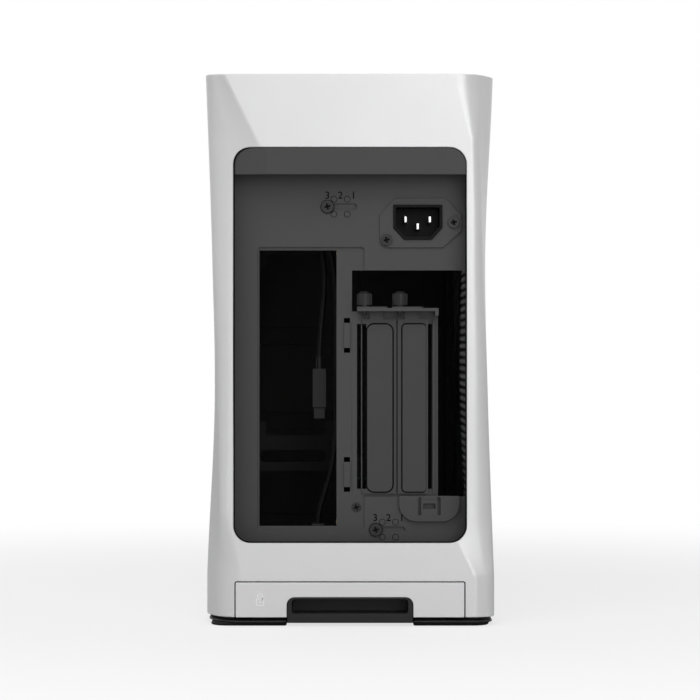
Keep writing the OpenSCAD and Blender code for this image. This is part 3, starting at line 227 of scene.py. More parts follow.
# Straight-grained walnut along Y: bands across X bent by slow noise, with fine dark pores drawn out along the
# grain.
def walnutGrainGroup():
    group, enter, leave = newGroup("walnutGrain", {"Light": (0.3, 0.16, 0.08, 1), "Dark": (0.1, 0.05, 0.03, 1)},
                                   {"Colour": "Color", "Height": "Float"})
    join = group.links.new
    place = addNode(group, "ShaderNodeTexCoord")
    stretch = addNode(group, "ShaderNodeMapping", Scale=(1, 0.07, 1))
    bands = addNode(group, "ShaderNodeTexNoise", Scale=120.0, Detail=6.0, Roughness=0.6, Distortion=0.4)
    pores = addNode(group, "ShaderNodeTexNoise", Scale=1500.0, Detail=2.0, Roughness=0.5)
    streak = addNode(group, "ShaderNodeMapRange", From_Min=0.35, From_Max=0.65)
    pore = addNode(group, "ShaderNodeMapRange", From_Min=0.6, From_Max=0.68)
    join(place.outputs["Object"], stretch.inputs["Vector"])
    for noise, ramp in ((bands, streak), (pores, pore)):
        join(stretch.outputs["Vector"], noise.inputs["Vector"])
        join(noise.outputs["Fac"], ramp.inputs["Value"])
    wood = mixColour(group, streak.outputs["Result"], enter.outputs["Light"], enter.outputs["Dark"])
    poreShare = mathNode(group, "MULTIPLY", pore.outputs["Result"], 0.5)
    join(mixColour(group, poreShare, wood, (0.03, 0.017, 0.01, 1)), leave.inputs["Colour"])
    join(mathNode(group, "MULTIPLY", pore.outputs["Result"], -1.0), leave.inputs["Height"])
    return group


fineGrain, softTone = fineGrainGroup(), softToneGroup()
restingDust, walnutGrain = restingDustGroup(), walnutGrainGroup()

# patch is the second tone, spread the roughness's own change, grain its scale and height its depth in mm
plainFinish = {"metallic": 0, "shine": 0.3, "dust": 0.08, "patchScale": 14, "bump": 0.6,
               "dustColour": (0.35, 0.34, 0.33, 1)}
finishes = {
    "shell_aluminium": {"colour": grey(0.66, 0.005), "patch": grey(0.645, 0.01), "metallic": 0.35,
                        "roughness": 0.33, "spread": 0.05, "grain": 2600, "height": 0.012},
    # shell_inner is near black: painted shade of the case's inside, on the inner faces of the same aluminium
    # sheet as the outside
    "shell_inner": {"colour": grey(0.07), "patch": grey(0.06), "metallic": 0.2,
                    "roughness": 0.55, "spread": 0.08, "grain": 2200, "height": 0.012},
    "brow_plastic": {"colour": grey(0.05), "patch": grey(0.046),
                     "roughness": 0.5, "spread": 0.05, "grain": 2400, "height": 0.01},
    "black_steel": {"colour": grey(0.018), "patch": grey(0.014), "shine": 0.15,
                    "roughness": 0.5, "spread": 0.1, "grain": 1500, "height": 0.02, "dust": 0.3},
    "grey_steel": {"colour": grey(0.035), "patch": grey(0.03), "shine": 0.15,
                   "roughness": 0.5, "spread": 0.1, "grain": 1500, "height": 0.02, "dust": 0.3},
    "panel_steel": {"colour": grey(0.042), "patch": grey(0.039), "shine": 0.4,
                    "roughness": 0.48, "spread": 0.1, "grain": 1500, "height": 0.02, "dust": 0.2},
    "cover_steel": {"colour": grey(0.042), "patch": grey(0.039),
                    "roughness": 0.46, "spread": 0.1, "grain": 1500, "height": 0.02, "dust": 0.2},
    "black_plastic": {"colour": grey(0.012), "patch": grey(0.016), "shine": 0.2,
                      "roughness": 0.42, "spread": 0.1, "grain": 1900, "height": 0.02, "dust": 0.2},
    "inlet_plastic": {"colour": grey(0.006), "patch": grey(0.008), "shine": 0.06,
                      "roughness": 0.35, "spread": 0.06, "grain": 2400, "height": 0.01},
    "retainer_plastic": {"colour": grey(0.055), "patch": grey(0.05),
                         "roughness": 0.5, "spread": 0.08, "grain": 2100, "height": 0.015},
    "plug_plastic": {"colour": grey(0.01), "patch": grey(0.013), "shine": 0.2,
                     "roughness": 0.4, "spread": 0.08, "grain": 2200, "height": 0.01},
    "lead_jacket": {"colour": grey(0.006), "patch": grey(0.009), "shine": 0.15,
                    "roughness": 0.45, "spread": 0.08, "grain": 1800, "height": 0.01},
    "foot_rubber": {"colour": grey(0.008), "patch": grey(0.012), "shine": 0.15,
                    "roughness": 0.75, "spread": 0.1, "grain": 1500, "height": 0.03},
    "black_screws": {"colour": grey(0.03), "patch": grey(0.02), "metallic": 0.35, "shine": 0.3,
                     "roughness": 0.33, "spread": 0.15, "grain": 2400, "height": 0.01},
    "bright_metal": {"colour": grey(0.75), "patch": grey(0.65), "metallic": 1,
                     "roughness": 0.22, "spread": 0.1, "grain": 2400, "height": 0.005},
    "clip_steel": {"colour": grey(0.3), "patch": grey(0.22), "metallic": 1,
                   "roughness": 0.35, "spread": 0.1, "grain": 1700, "height": 0.01},
    "standoff_brass": {"colour": (0.62, 0.42, 0.16, 1), "patch": (0.5, 0.33, 0.12, 1), "metallic": 1,
                       "roughness": 0.3, "spread": 0.1, "grain": 1800, "height": 0.01},
    "circuit_board": {"colour": (0.01, 0.035, 0.02, 1), "patch": (0.012, 0.05, 0.028, 1), "patchScale": 160,
                      "roughness": 0.35, "spread": 0.1, "grain": 700, "height": 0.03},
    "filter_net": {"colour": grey(0.05), "patch": grey(0.03),
                   "roughness": 0.6, "spread": 0.1, "grain": 1200, "height": 0.05},
    # mark_dark colours the digits, and also the painted shadow in gaps, grooves and screw recesses
    "mark_dark": {"colour": grey(0.003), "patch": grey(0.005), "shine": 0.03,
                  "roughness": 0.6, "spread": 0.05, "grain": 1500, "height": 0.01},
    "mark_pale": {"colour": grey(0.86), "patch": grey(0.84),
                  "roughness": 0.5, "spread": 0.05, "grain": 2600, "height": 0.01},
    "walnut": {"colour": (0.26, 0.135, 0.07, 1), "patch": (0.1, 0.048, 0.026, 1),
               "roughness": 0.42, "spread": 0.12, "grain": 900, "height": 0.05}}


# A grained surface: soft tone or wood grain for the colour, fine grain for roughness and bump, and a trace of
# dust on top.
def makeFinish(name, own):
    finish, wood = {**plainFinish, **own}, name == "walnut"
    material = bpy.data.materials.new(name)
    material.use_nodes = True
    tree = material.node_tree
    join, shader = tree.links.new, tree.nodes["Principled BSDF"]
    shader.inputs["Metallic"].default_value = finish["metallic"]
    shader.inputs["Specular IOR Level"].default_value = finish["shine"]
    grain = addNode(tree, "ShaderNodeGroup", node_tree=fineGrain, Scale=float(finish["grain"]),
                    Spread=finish["spread"])
    dust = addNode(tree, "ShaderNodeGroup", node_tree=restingDust, Amount=finish["dust"])
    if wood:
        tone = addNode(tree, "ShaderNodeGroup", node_tree=walnutGrain, Light=finish["colour"],
                       Dark=finish["patch"])
    else:
        tone = addNode(tree, "ShaderNodeGroup", node_tree=softTone, Colour=finish["colour"],
                       Patch=finish["patch"], Scale=float(finish["patchScale"]))
    colour = mixColour(tree, dust.outputs["Mask"], tone.outputs["Colour"], finish["dustColour"])
    join(colour, shader.inputs["Base Color"])
    rough = mathNode(tree, "ADD", grain.outputs["Roughness"], finish["roughness"], clamp=True)
    join(rough, shader.inputs["Roughness"])
    bump = addNode(tree, "ShaderNodeBump", Strength=finish["bump"], Distance=finish["height"] * mm)
    join((tone if wood else grain).outputs["Height"], bump.inputs["Height"])
    join(bump.outputs["Normal"], shader.inputs["Normal"])
    return material


materials = {name: makeFinish(name, finish) for name, finish in finishes.items()}
print("materials made:", len(materials))

# Shell: one skin whose plan changes from foot to rim. Its corner lines are pairs of height share and half-width
# share, the right one counted from the top down.
shellForm = {
    "halfWidth": 82.5, "depth": 366, "bottom": 5.1, "top": 314, "sculptFrom": 28, "sculptTo": 313,
    "wall": 2.5, "edge": 0.4, "waistIn": 4.4, "waistShare": 0.382, "faceTilt": 4, "facetRun": 22,
    "creaseShare": 0.868, "cornerReach": 11.5, "kneeReach": 4, "creaseReach": 1.4, "mostReach": 0.45,
    "windowEnd": 147, "windowLow": 44, "windowTop": 296, "sideFrom": 60, "levels": (9, 106, 8),
    "sharpAngle": 24, "normalWeight": 60, "windowSlack": 0.01,
    "leftCorner": [(0, 0.885), (0.112, 0.892), (0.155, 0.894), (0.27, 0.903), (0.393, 0.916),
                   (0.572, 0.945), (0.751, 0.961), (0.909, 0.984), (1, 1)],
    "rightCorner": [(0, 0.866), (0.112, 0.872), (0.155, 0.879), (0.27, 0.9), (0.393, 0.916),
                    (0.572, 0.945), (0.751, 0.961), (0.909, 0.984), (1, 1)]}

# how many points stand round each bend of the rear half, and at which shares of the edge that follows it
windowShare = 2 * shellForm["windowEnd"] / (shellForm["depth"] / 2 - shellForm["facetRun"]) - 1
bendSteps = [1, 8, 14, 7, 14, 8, 1, 1]
edgeShares = [[windowShare], [0.5], [0.25, 0.5, 0.75], [0.25, 0.5, 0.75], [0.5], [1 - windowShare], [], []]
bends = len(bendSteps)


# The height share of a place z in mm on the sculpted part of the shell.
def heightShare(z, form=shellForm):
    return (z - form["sculptFrom"]) / (form["sculptTo"] - form["sculptFrom"])


# A smooth curve through the named places: cubic pieces whose slope at each place is the harmonic mean of its
# neighbours' slopes, nought where they turn, so that it never overshoots.
def smoothShare(u, at, value, tiny=1e-12):
    at, value = np.array(at, float), np.array(value, float)
    step = np.diff(value) / np.diff(at)
    turn = step[:-1] * step[1:]
    inner = np.where(turn > 0, 2 * turn / (step[:-1] + step[1:] + tiny), 0)
    slope = np.concatenate([[step[0]], inner, [step[-1]]])
    k = np.clip(np.searchsorted(at, u, side="right") - 1, 0, len(at) - 2)
    h = at[k + 1] - at[k]
    t = (u - at[k]) / h
    return ((2 * t**3 - 3 * t**2 + 1) * value[k] + (t**3 - 2 * t**2 + t) * h * slope[k]
            + (3 * t**2 - 2 * t**3) * value[k + 1] + (t**3 - t**2) * h * slope[k + 1])


# Half width of the side wall at height share u and depth share t: the half width less a waist that is deepest
# at a height that moves along the depth.
def sideHalf(u, t, form=shellForm):
    w = form["waistShare"] + (t + 1) / 2 * (1 - 2 * form["waistShare"])
    v = np.where(u > w, (1 - u) / (1 - w), u / w)
    return form["halfWidth"] - form["waistIn"] * (np.sin(np.pi / 2 * v) + v * v * (3 - 2 * v)) / 2


# The eight plan points of the rear half at height shares u, drawn in by w, as an array (levels, 8, 2), with how
# far each is rounded. The right side is the left side turned upside down, and the crease runs between them.
def rearCorners(u, w, form=shellForm):
    rear, tilt = -form["depth"] / 2, form["faceTilt"]
    facet = rear + form["facetRun"]
    third = form["waistShare"] / 3
    flat, still = np.zeros_like(u), np.ones_like(u)

    def corner(share, line):
        return form["halfWidth"] * smoothShare(share, *zip(*form[line]))

    def reach(s):
        below = np.where(s < third, 1 - 3 * s / form["waistShare"], 0)
        share = np.minimum(1, np.abs(s - third) / (1 - form["waistShare"]) + below)
        return form["kneeReach"] + (form["cornerReach"] - form["kneeReach"]) * share

    points = [(-sideHalf(u, -0.5) + w, facet / 2 * still),
              (-sideHalf(u, -1) + w, facet * still),
              (-corner(u, "leftCorner") + w, rear + tilt * u + w),
              (form["halfWidth"] * form["creaseShare"] * (1 - 2 * u), (rear + w) * still),
              (corner(1 - u, "rightCorner") - w, rear + tilt * (1 - u) + w),
              (sideHalf(1 - u, -1) - w, facet * still),
              (sideHalf(1 - u, -0.5) - w, facet / 2 * still),
              (sideHalf(1 - u, 0) - w, flat)]
    side = form["cornerReach"] / 2 * still
    reaches = [flat, side, reach(u), form["creaseReach"] * still, reach(1 - u), side, flat, flat]
    return np.stack([np.stack(p, -1) for p in points], 1), np.stack(reaches, 1)


# Whole plan outlines at height shares u: each corner is a quadratic curve between points on its two edges, and
# the front half is the rear half turned.
def shellRings(u, w, form=shellForm):
    half, reach = rearCorners(u, w)
    corners = np.concatenate([half, -half], 1)
    reach = np.concatenate([reach, reach], 1)

    def near(k, other):
        if bendSteps[k % bends] == 1:
            return corners[:, k]
        way = other - corners[:, k]
        share = np.minimum(form["mostReach"], reach[:, k] / np.linalg.norm(way, axis=1))[:, None]
        return corners[:, k] + way * share

    starts = [near(k, corners[:, k - 1]) for k in range(2 * bends)]
    ends = [near(k, corners[:, (k + 1) % (2 * bends)]) for k in range(2 * bends)]
    parts = []
    for k in range(2 * bends):
        here, after = corners[:, k], corners[:, (k + 1) % (2 * bends)]
        if bendSteps[k % bends] == 1:
            parts.append(here[:, None])
        else:
            t = np.linspace(0, 1, bendSteps[k % bends])[None, :, None]
            bend = starts[k][:, None] * (1 - t) ** 2 + here[:, None] * 2 * t * (1 - t) + ends[k][:, None] * t**2
            parts.append(bend)
        rounded = 1 <= k % bends <= 4  # these edges run between two bends
        first, last = (ends[k], starts[(k + 1) % (2 * bends)]) if rounded else (here, after)
        parts += [(first + (last - first) * share)[:, None] for share in edgeShares[k % bends]]
    return np.concatenate(parts, 1)


# The y of the rear face at places (x, z): read on the straight line between the two outline points beside x,
# from half way round the left edge to the end of the right one.
def faceDepth(x, z, tiny=1e-6):
    ring = shellRings(np.clip(heightShare(z), 0, 1), 0.0)
    first = bendSteps[0] + len(edgeShares[0]) + bendSteps[1] // 2
    last = sum(bendSteps[:6]) + sum(len(shares) for shares in edgeShares[:5]) - 1
    line = ring[:, first:last]
    k = np.clip((line[..., 0] < x[:, None]).sum(1) - 1, 0, line.shape[1] - 2)
    rows = np.arange(len(x))
    a, b = line[rows, k], line[rows, k + 1]
    share = np.clip((x - a[:, 0]) / np.maximum(b[:, 0] - a[:, 0], tiny), 0, 1)
    return a[:, 1] + (b[:, 1] - a[:, 1]) * share


# Points round a rectangle with quarter-circle corners, with extra points along its straight sides,
# anticlockwise from its lower right corner.
def roundedOutline(x0, x1, z0, z1, r, perCorner=14, spacing=6.0):
    turn = np.linspace(0, np.pi / 2, perCorner)
    centres = [(x1 - r, z0 + r, -np.pi / 2), (x1 - r, z1 - r, 0),
               (x0 + r, z1 - r, np.pi / 2), (x0 + r, z0 + r, np.pi)]
    arcs = [np.stack([cx + r * np.cos(start + turn), cz + r * np.sin(start + turn)], 1)
            for cx, cz, start in centres]
    parts = []
    for k, arc in enumerate(arcs):
        parts.append(arc)
        a, b = arc[-1], arcs[(k + 1) % 4][0]
        count = int(np.linalg.norm(b - a) / spacing)
        parts.append(a + (b - a) * (np.arange(1, count) / max(count, 1))[:, None])
    return np.concatenate(parts)


# Unit normals of a closed anticlockwise outline, pointing out of it.
def outwardSteps(outline):
    along = np.roll(outline, -1, 0) - np.roll(outline, 1, 0)
    out = np.stack([along[:, 1], -along[:, 0]], 1)
    return out / np.linalg.norm(out, axis=1)[:, None]


# openings through the rear face and the same notch in the front: left, right, low, high and corner radius
cutterReach = {"outside": -190.0, "inside": -170.0, "overlap": 0.02}
drawerNotch = {"outline": (-65.6, 65.6, -20, 25.5, 1.2), "perCorner": 6, "edge": 0.25}
shellOpenings = {
    "openingCutter": {"outline": (-66.3, 66.3, 47.3, 272.3, 9.7), "perCorner": 14, "edge": 0.35, "sign": 1},
    "rearNotchCutter": {**drawerNotch, "sign": 1},
    "frontNotchCutter": {**drawerNotch, "sign": -1}}


# A closed cutter through the rear face: a straight prism inside, flared by the edge's width where it meets the
# face, whose depth it follows. Turned half round, it cuts the front.
def faceCutter(name, opening, reach=cutterReach):
    outline, edge = roundedOutline(*opening["outline"], opening["perCorner"]), opening["edge"]
    wide = outline + outwardSteps(outline) * edge
    depth, n = faceDepth(wide[:, 0], wide[:, 1]), len(outline)
    rows = [(wide, np.full(n, reach["outside"])), (wide, depth - reach["overlap"]),
            (outline, depth + edge), (outline, np.full(n, reach["inside"]))]
    points = np.concatenate([np.column_stack([p[:, 0], y, p[:, 1]]) for p, y in rows]) * mm
    points[:, :2] *= opening["sign"]
    ends = [list(range(n))[::-1], list(range(3 * n, 4 * n))]
    cutter = meshPiece(name, points, loopQuads(3, 4, n).tolist() + ends)
    recalculate(cutter)
    return cutter


# The wall as one closed grid: up the outside level by level, over the rim, down the inside, and under the
# bottom edge, less the two side windows.
def makeShell(form=shellForm):
    marks = [form[key] for key in ("sculptFrom", "windowLow", "windowTop", "sculptTo")]
    steps = [np.linspace(low, high, count) for low, high, count in zip(marks, marks[1:], form["levels"])]
    edge, wall = form["edge"], form["wall"]
    foot, rim = [form["bottom"], form["bottom"] + edge], [form["top"] - edge, form["top"]]
    z = np.concatenate([foot, np.unique(np.concatenate(steps)), rim])
    u = np.clip(heightShare(z), 0, 1)

    def skin(endInset, inset):  # the outlines of one side of the wall, its two ends drawn in on their own
        ends = [shellRings(u[[k]], endInset) for k in (0, -1)]
        ring = np.concatenate([ends[0], shellRings(u[1:-1], inset), ends[1]])
        return np.concatenate([ring, np.broadcast_to(z[:, None, None], ring.shape[:2] + (1,))], 2)

    grid = np.concatenate([skin(edge, 0.0), skin(wall - edge, wall)[::-1]])
    rows, count = grid.shape[:2]
    i, j = np.meshgrid(np.arange(rows), np.arange(count), indexing="ij")

    def index(a, b):
        return (a % rows) * count + b % count

    quads = np.stack([index(i, j), index(i, j + 1), index(i + 1, j + 1), index(i + 1, j)], -1)
    mid = (grid + np.roll(grid, -1, 1) + np.roll(grid, -1, 0) + np.roll(np.roll(grid, -1, 0), -1, 1)) / 4
    across, along, up = np.abs(mid[..., 0]), np.abs(mid[..., 1]), mid[..., 2]
    inWindow = ((along < form["windowEnd"] - form["windowSlack"]) & (across > form["sideFrom"])
                & (up > form["windowLow"]) & (up < form["windowTop"]))
    inWindow[[len(z) - 1, rows - 1]] = False  # the rim and the bottom edge
    # reveals: where a kept face of the outer wall borders a window, one face runs through to the same place on
    # the inner wall. Each border is a step to the kept face, and the two ends of the edge that they share.
    reveals = []
    window = inWindow[:len(z)]
    borders = ((1, 0, ((0, 0), (0, 1))), (-1, 0, ((1, 1), (1, 0))),
               (0, 1, ((1, 0), (0, 0))), (0, -1, ((0, 1), (1, 1))))
    for shiftRow, shiftColumn, ((r0, c0), (r1, c1)) in borders:
        a, b = np.nonzero(window & ~np.roll(np.roll(window, shiftRow, 0), shiftColumn, 1))
        reveals.append(np.stack([index(a + r0, b + c0), index(rows - 1 - a - r0, b + c0),
                                 index(rows - 1 - a - r1, b + c1), index(a + r1, b + c1)], -1))
    faces = np.concatenate([quads[~inWindow]] + reveals)
    shell = meshPiece("outer_skin", grid.reshape(-1, 3) * mm, faces.tolist())
    recalculate(shell)
    cutters = [faceCutter(name, opening) for name, opening in shellOpenings.items()]
    for cutter in cutters:
        cut = shell.modifiers.new("cut", "BOOLEAN")
        cut.operation, cut.solver, cut.object = "DIFFERENCE", "MANIFOLD", cutter
    done = finalMesh(shell)
    shell.modifiers.clear()
    shell.data = done
    for cutter in cutters:
        bpy.data.objects.remove(cutter)
    shadeSmooth(shell.data, form["sharpAngle"])
    evenNormals(shell, form["normalWeight"])
    return placePiece(shell, "shell", "shell_aluminium", ["outer_shell"])


shell = makeShell()
print("shell made:", len(shell.data.polygons), "faces")

# Side walls: a field of holes in staggered rows, each hole a twelve-sided ring in a six-sided tile
sideField = {"pitch": 5.8, "hole": 1.85, "smallest": 0.9, "fade": 30, "border": 2.6, "inset": 0.05,
             "sides": 12, "sharpAngle": 30, "innerFrom": 0.5, "onBorder": 1e-9, "digits": 4, "leastArea": 1e-6}


# Tiles over the window on the flat (y, z), their points held inside it, then laid on the wall's outer and inner
# face. A hole's radius grows smoothly with its distance from the border.
def makeSideField(name, sign, form=shellForm, field=sideField):
    p, n, inset = field["pitch"], field["sides"], field["inset"]
    end, low, top = form["windowEnd"] - inset, form["windowLow"] + inset, form["windowTop"] - inset
    rowStep = p * np.sqrt(3) / 2
    column, row = np.meshgrid(np.arange(-1, 2 * end / p + 2), np.arange(-1, (top - low) / rowStep + 2))
    centre = np.stack([-end + (column + 0.5 * (row % 2)) * p, low + row * rowStep], -1).reshape(-1, 2)
    border = np.minimum(end - np.abs(centre[:, 0]), np.minimum(centre[:, 1] - low, top - centre[:, 1]))
    centre, border = centre[border > -p], border[border > -p]
    share = np.clip(border / field["fade"], 0, 1)
    radius = field["smallest"] + (field["hole"] - field["smallest"]) * share * share * (3 - 2 * share)
    radius = np.where(border > field["border"], radius, 0)
    k = np.arange(n)
    angle = 2 * np.pi / n * k
    rim = p / 2 / np.cos(np.pi / 6) * np.where(k % 2 == 1, 1, np.cos(np.pi / 6))
    ray = np.stack([np.cos(angle), np.sin(angle)], 1)
    flat = np.concatenate([centre[:, None] + ray * rim[:, None],
                           centre[:, None] + ray * radius[:, None, None]], 1)
    y, z = np.clip(flat[..., 0], -end, end).ravel(), np.clip(flat[..., 1], low, top).ravel()
    base, total = (np.arange(len(centre)) * 2 * n)[:, None], len(centre) * 2 * n
    after = (k + 1) % n
    front = np.stack([base + k, base + after, base + n + after, base + n + k], -1).reshape(-1, 4)
    holed = (radius > 0)[:, None] & np.ones((1, n), bool)
    wall = np.stack([base + n + k, base + n + after, base + n + after + total, base + n + k + total], -1)[holed]
    t = y / (form["depth"] / 2 - form["facetRun"])
    knots = np.array([-1, -0.5, 0, 0.5, 1])  # depth shares where the shell's side has its plan points
    lower = np.clip(np.floor((t + 1) * 2).astype(int), 0, 3)
    mix = (t - knots[lower]) * 2
    u = heightShare(z)
    half = sideHalf(u, knots[lower]) * (1 - mix) + sideHalf(u, knots[lower + 1]) * mix
    points = np.concatenate([np.stack([-half, y, z], 1), np.stack([-half + form["wall"], y, z], 1)])
    # the border's own wall joins the outer and inner points that lie on it, in order along each side
    borders = []
    for coordinate, limit, other in ((y, -end, z), (y, end, z), (z, low, y), (z, top, y)):
        on = np.nonzero(np.abs(coordinate - limit) < field["onBorder"])[0]
        _, firstOf = np.unique(np.round(other[on], field["digits"]), return_index=True)
        on = on[firstOf]
        borders.append(np.stack([on[:-1], on[1:], on[1:] + total, on[:-1] + total], -1))
    faces = np.concatenate([front, front[:, ::-1] + total, wall] + borders)
    # merge points that share a place, and leave out faces that the border flattened
    places = np.round(points, field["digits"])
    _, keep, same = np.unique(places, axis=0, return_index=True, return_inverse=True)
    points, faces = points[keep], same.reshape(-1)[faces]
    a, b, c, d = (points[faces[:, corner]] for corner in range(4))
    area = (np.linalg.norm(np.cross(b - a, c - a), axis=1)
            + np.linalg.norm(np.cross(c - a, d - a), axis=1))
    faces = faces[area > field["leastArea"]]
    points[:, :2] *= sign
    ordered = np.sort(faces, 1)
    double = (ordered[:, 1:] == ordered[:, :-1]).any(1)
    triangles = [list(dict.fromkeys(face)) for face in faces[double].tolist()]
    panel = meshPiece(name, points * mm, faces[~double].tolist() + triangles)
    recalculate(panel)
    shadeSmooth(panel.data, field["sharpAngle"])
    placePiece(panel, "shell", "shell_aluminium", ["outer_shell"])
    # the faces that look into the case take the near-black inner finish, which paints the shade inside the case
    panel.data.materials.append(materials["shell_inner"])
    normals = np.empty(len(panel.data.polygons) * 3)
    panel.data.polygons.foreach_get("normal", normals)
    inward = normals.reshape(-1, 3)[:, 0] * sign > field["innerFrom"]
    panel.data.polygons.foreach_set("material_index", inward.astype(np.int32))
    return panel


for name, sign in (("side_field_left", 1), ("side_field_right", -1)):
    panel = makeSideField(name, sign)
    print(name, len(panel.data.polygons), "faces")

# Metal and plastic parts: the frame's own forms with their edges eased by these widths in mm
easeSettings = {"merge": 1e-6, "flatAngle": 1.0, "sharpAngle": 32, "bevelAngle": 38, "segments": 2,
                "normalWeight": 100}
easedEdges = {
    "rear_brow": 0.4, "shell_ledge": 0.4, "top_panel": 0.5, "top_panel_frame": 0.3, "base_tray": 0.6,
    "rubber_feet": 1.0, "base_frame": 0.6, "floor_plate": 0.2, "rear_panel": 0.2, "front_plate": 0.2,
    "corner_posts": 0.4, "fan_deck": 0.2, "psu_bracket": 0.2, "fan_frame_1": 0.6, "fan_frame_2": 0.6,
    "fan_rotor_1": 0.3, "fan_rotor_2": 0.3, "mains_inlet": 0.3, "inlet_flange": 0.15, "inlet_pins": 0.6,
    "inlet_screws": 0.12, "front_io_strip": 0.3, "io_board": 0.2, "usb_c_port": 0.08, "usb_a_ports": 0.1,
    "audio_jack": 0.15, "power_button": 0.35, "power_switch": 0.3, "cable_clip": 0.3, "usb_plug": 0.8,
    "panel_plug": 0.8, "spine_plate": 0.2, "io_flange": 0.2, "slot_frame": 0.15, "slot_cover_1": 0.15,
    "slot_cover_2": 0.15, "board_standoffs": 0.15, "position_screws": 0.12, "riser_board": 0.2,
    "riser_socket": 0.4, "slot_retainer": 0.2, "thumbscrew_1": 0.15, "thumbscrew_2": 0.15,
    "drawer_front": 0.25, "grip_liner": 0.4, "filter_frame": 0.5, "latch_rods": 0.4, "top_panel_studs": 0.1}
keptTriangles = ("top_panel",)  # its joined faces would have too many holes
otherFinish = {"inlet_flange": "panel_steel"}  # in place of the frame's own


# A copy of a frame node's mesh with doubles merged and flat faces joined, and a small bevel on its sharp edges.
def easeNode(node, width, settings=easeSettings):
    mesh = frame["nodes"][node].data.copy()
    work = bmesh.new()
    work.from_mesh(mesh)
    bmesh.ops.remove_doubles(work, verts=work.verts, dist=settings["merge"])
    if node not in keptTriangles:
        bmesh.ops.dissolve_limit(work, angle_limit=np.radians(settings["flatAngle"]), verts=work.verts,
                                 edges=work.edges)
    work.to_mesh(mesh)
    work.free()
    shadeSmooth(mesh, settings["sharpAngle"])
    piece = bpy.data.objects.new(node + "_eased", mesh)
    bevel = piece.modifiers.new("easedEdges", "BEVEL")
    bevel.width, bevel.segments = width * mm, settings["segments"]
    bevel.limit_method, bevel.angle_limit = "ANGLE", np.radians(settings["bevelAngle"])
    bevel.use_clamp_overlap, bevel.miter_outer = True, "MITER_ARC"
    evenNormals(piece, settings["normalWeight"])
    finish = otherFinish.get(node, finishOf[node])
    return placePiece(piece, bodyOf[node], finish, [node])


for node, width in easedEdges.items():
    easeNode(node, width)
print("parts eased:", len(easedEdges))

# Leads in the board chamber: they hang from the clip to their plugs
leadSettings = {"diameter": 3, "roundSteps": 5}
leadRoutes = {
    "usb_lead_run": {"points": [(-17, -123, 222), (-16, -123, 212), (-15, -123, 200), (-15.5, -123, 188),
                                (-16.5, -123, 176), (-17.5, -123, 164), (-18, -123, 153)],
                     "count": 24, "plug": "usb_plug", "stands": "usb_lead"},
    "panel_lead_run": {"points": [(-14, -123, 222), (-11, -122, 213), (-9, -120, 200), (-8, -118, 180),
                                  (-8, -116, 158), (-8, -115, 136), (-8, -114, 116), (-9, -113, 100),
                                  (-11, -112, 86), (-15, -111, 72), (-18, -111, 62), (-19, -111, 54)],
                       "count": 32, "plug": "panel_plug", "stands": "panel_lead"}}


# Even points on the smooth curve through the route, and its length: each stretch is the cubic whose slopes are
# half of its neighbours' difference.
def smoothRoute(points, count, perPoint=8, tiny=1e-9):
    p = np.array(points, float)
    p = np.concatenate([[2 * p[0] - p[1]], p, [2 * p[-1] - p[-2]]])
    s = np.linspace(0, len(p) - 3 - tiny, count * perPoint)
    k, t = s.astype(int), (s % 1)[:, None]
    a, b, c, d = p[k], p[k + 1], p[k + 2], p[k + 3]
    line = 0.5 * (2 * b + (c - a) * t + (2 * a - 5 * b + 4 * c - d) * t**2 + (3 * b - a - 3 * c + d) * t**3)
    far = np.concatenate([[0], np.cumsum(np.linalg.norm(np.diff(line, axis=0), axis=1))])
    even = np.linspace(0, far[-1], count)
    return np.stack([np.interp(even, far, line[:, n]) for n in range(3)], 1), far[-1]


for name, route in leadRoutes.items():
    line, length = smoothRoute(route["points"], route["count"])
    curve = bpy.data.curves.new(name, "CURVE")
    curve.dimensions, curve.use_fill_caps = "3D", True
    curve.bevel_depth, curve.bevel_resolution = leadSettings["diameter"] / 2 * mm, leadSettings["roundSteps"]
    spline = curve.splines.new("POLY")
    spline.points.add(len(line) - 1)
    spline.points.foreach_set("co", np.column_stack([line * mm, np.ones(len(line))]).ravel())
    spline.use_smooth = True
    lead = placePiece(bpy.data.objects.new(name, curve), "chassis", "lead_jacket", [route["stands"]])
    print(name, round(length, 1), "mm")

# every node of the frame that still shows takes its own finish
for node, piece in frame["nodes"].items():
    for k in range(len(piece.data.materials)):
        piece.data.materials[k] = materials[finishOf[node]]

# Digits beside the position slots of the rear panel, with each one's x: raised, dark and upright
digitSettings = {"height": 4.2, "textScale": 1.38, "proud": 0.18, "fatter": 0.03, "face": -163.0,
                 "upper": {"z": 245.9, "x": {"3": -13.0, "2": -5.5, "1": 2.0}},
                 "lower": {"z": 60.3, "x": {"3": 14.5, "2": 22.2, "1": 29.8}}}


# A digit as a mesh: the text's own outline thickened, turned upright and laid on the panel's face.
def makeDigit(name, digit, x, z, settings=digitSettings):
    curve = bpy.data.curves.new(name, "FONT")
    curve.body, curve.align_x, curve.align_y = digit, "CENTER", "CENTER"
    curve.size = settings["height"] * settings["textScale"] * mm
    curve.extrude, curve.offset = settings["proud"] * mm, settings["fatter"] * mm
    holder = linkPiece(bpy.data.objects.new(name + "Text", curve))
    mesh = finalMesh(holder)
    bpy.data.objects.remove(holder)
    points = np.empty(len(mesh.vertices) * 3)
    mesh.vertices.foreach_get("co", points)
    across, up, out = points.reshape(-1, 3).T
    placed = np.column_stack([across + x * mm, settings["face"] * mm - out, up + z * mm])
    mesh.vertices.foreach_set("co", placed.ravel())
    piece = bpy.data.objects.new(name, mesh)
    recalculate(piece)
    return placePiece(piece, "chassis", "mark_dark")


for side in ("upper", "lower"):
    for digit, x in digitSettings[side]["x"].items():
        makeDigit("digit_%s_%s" % (side, digit), digit, x, digitSettings[side]["z"])


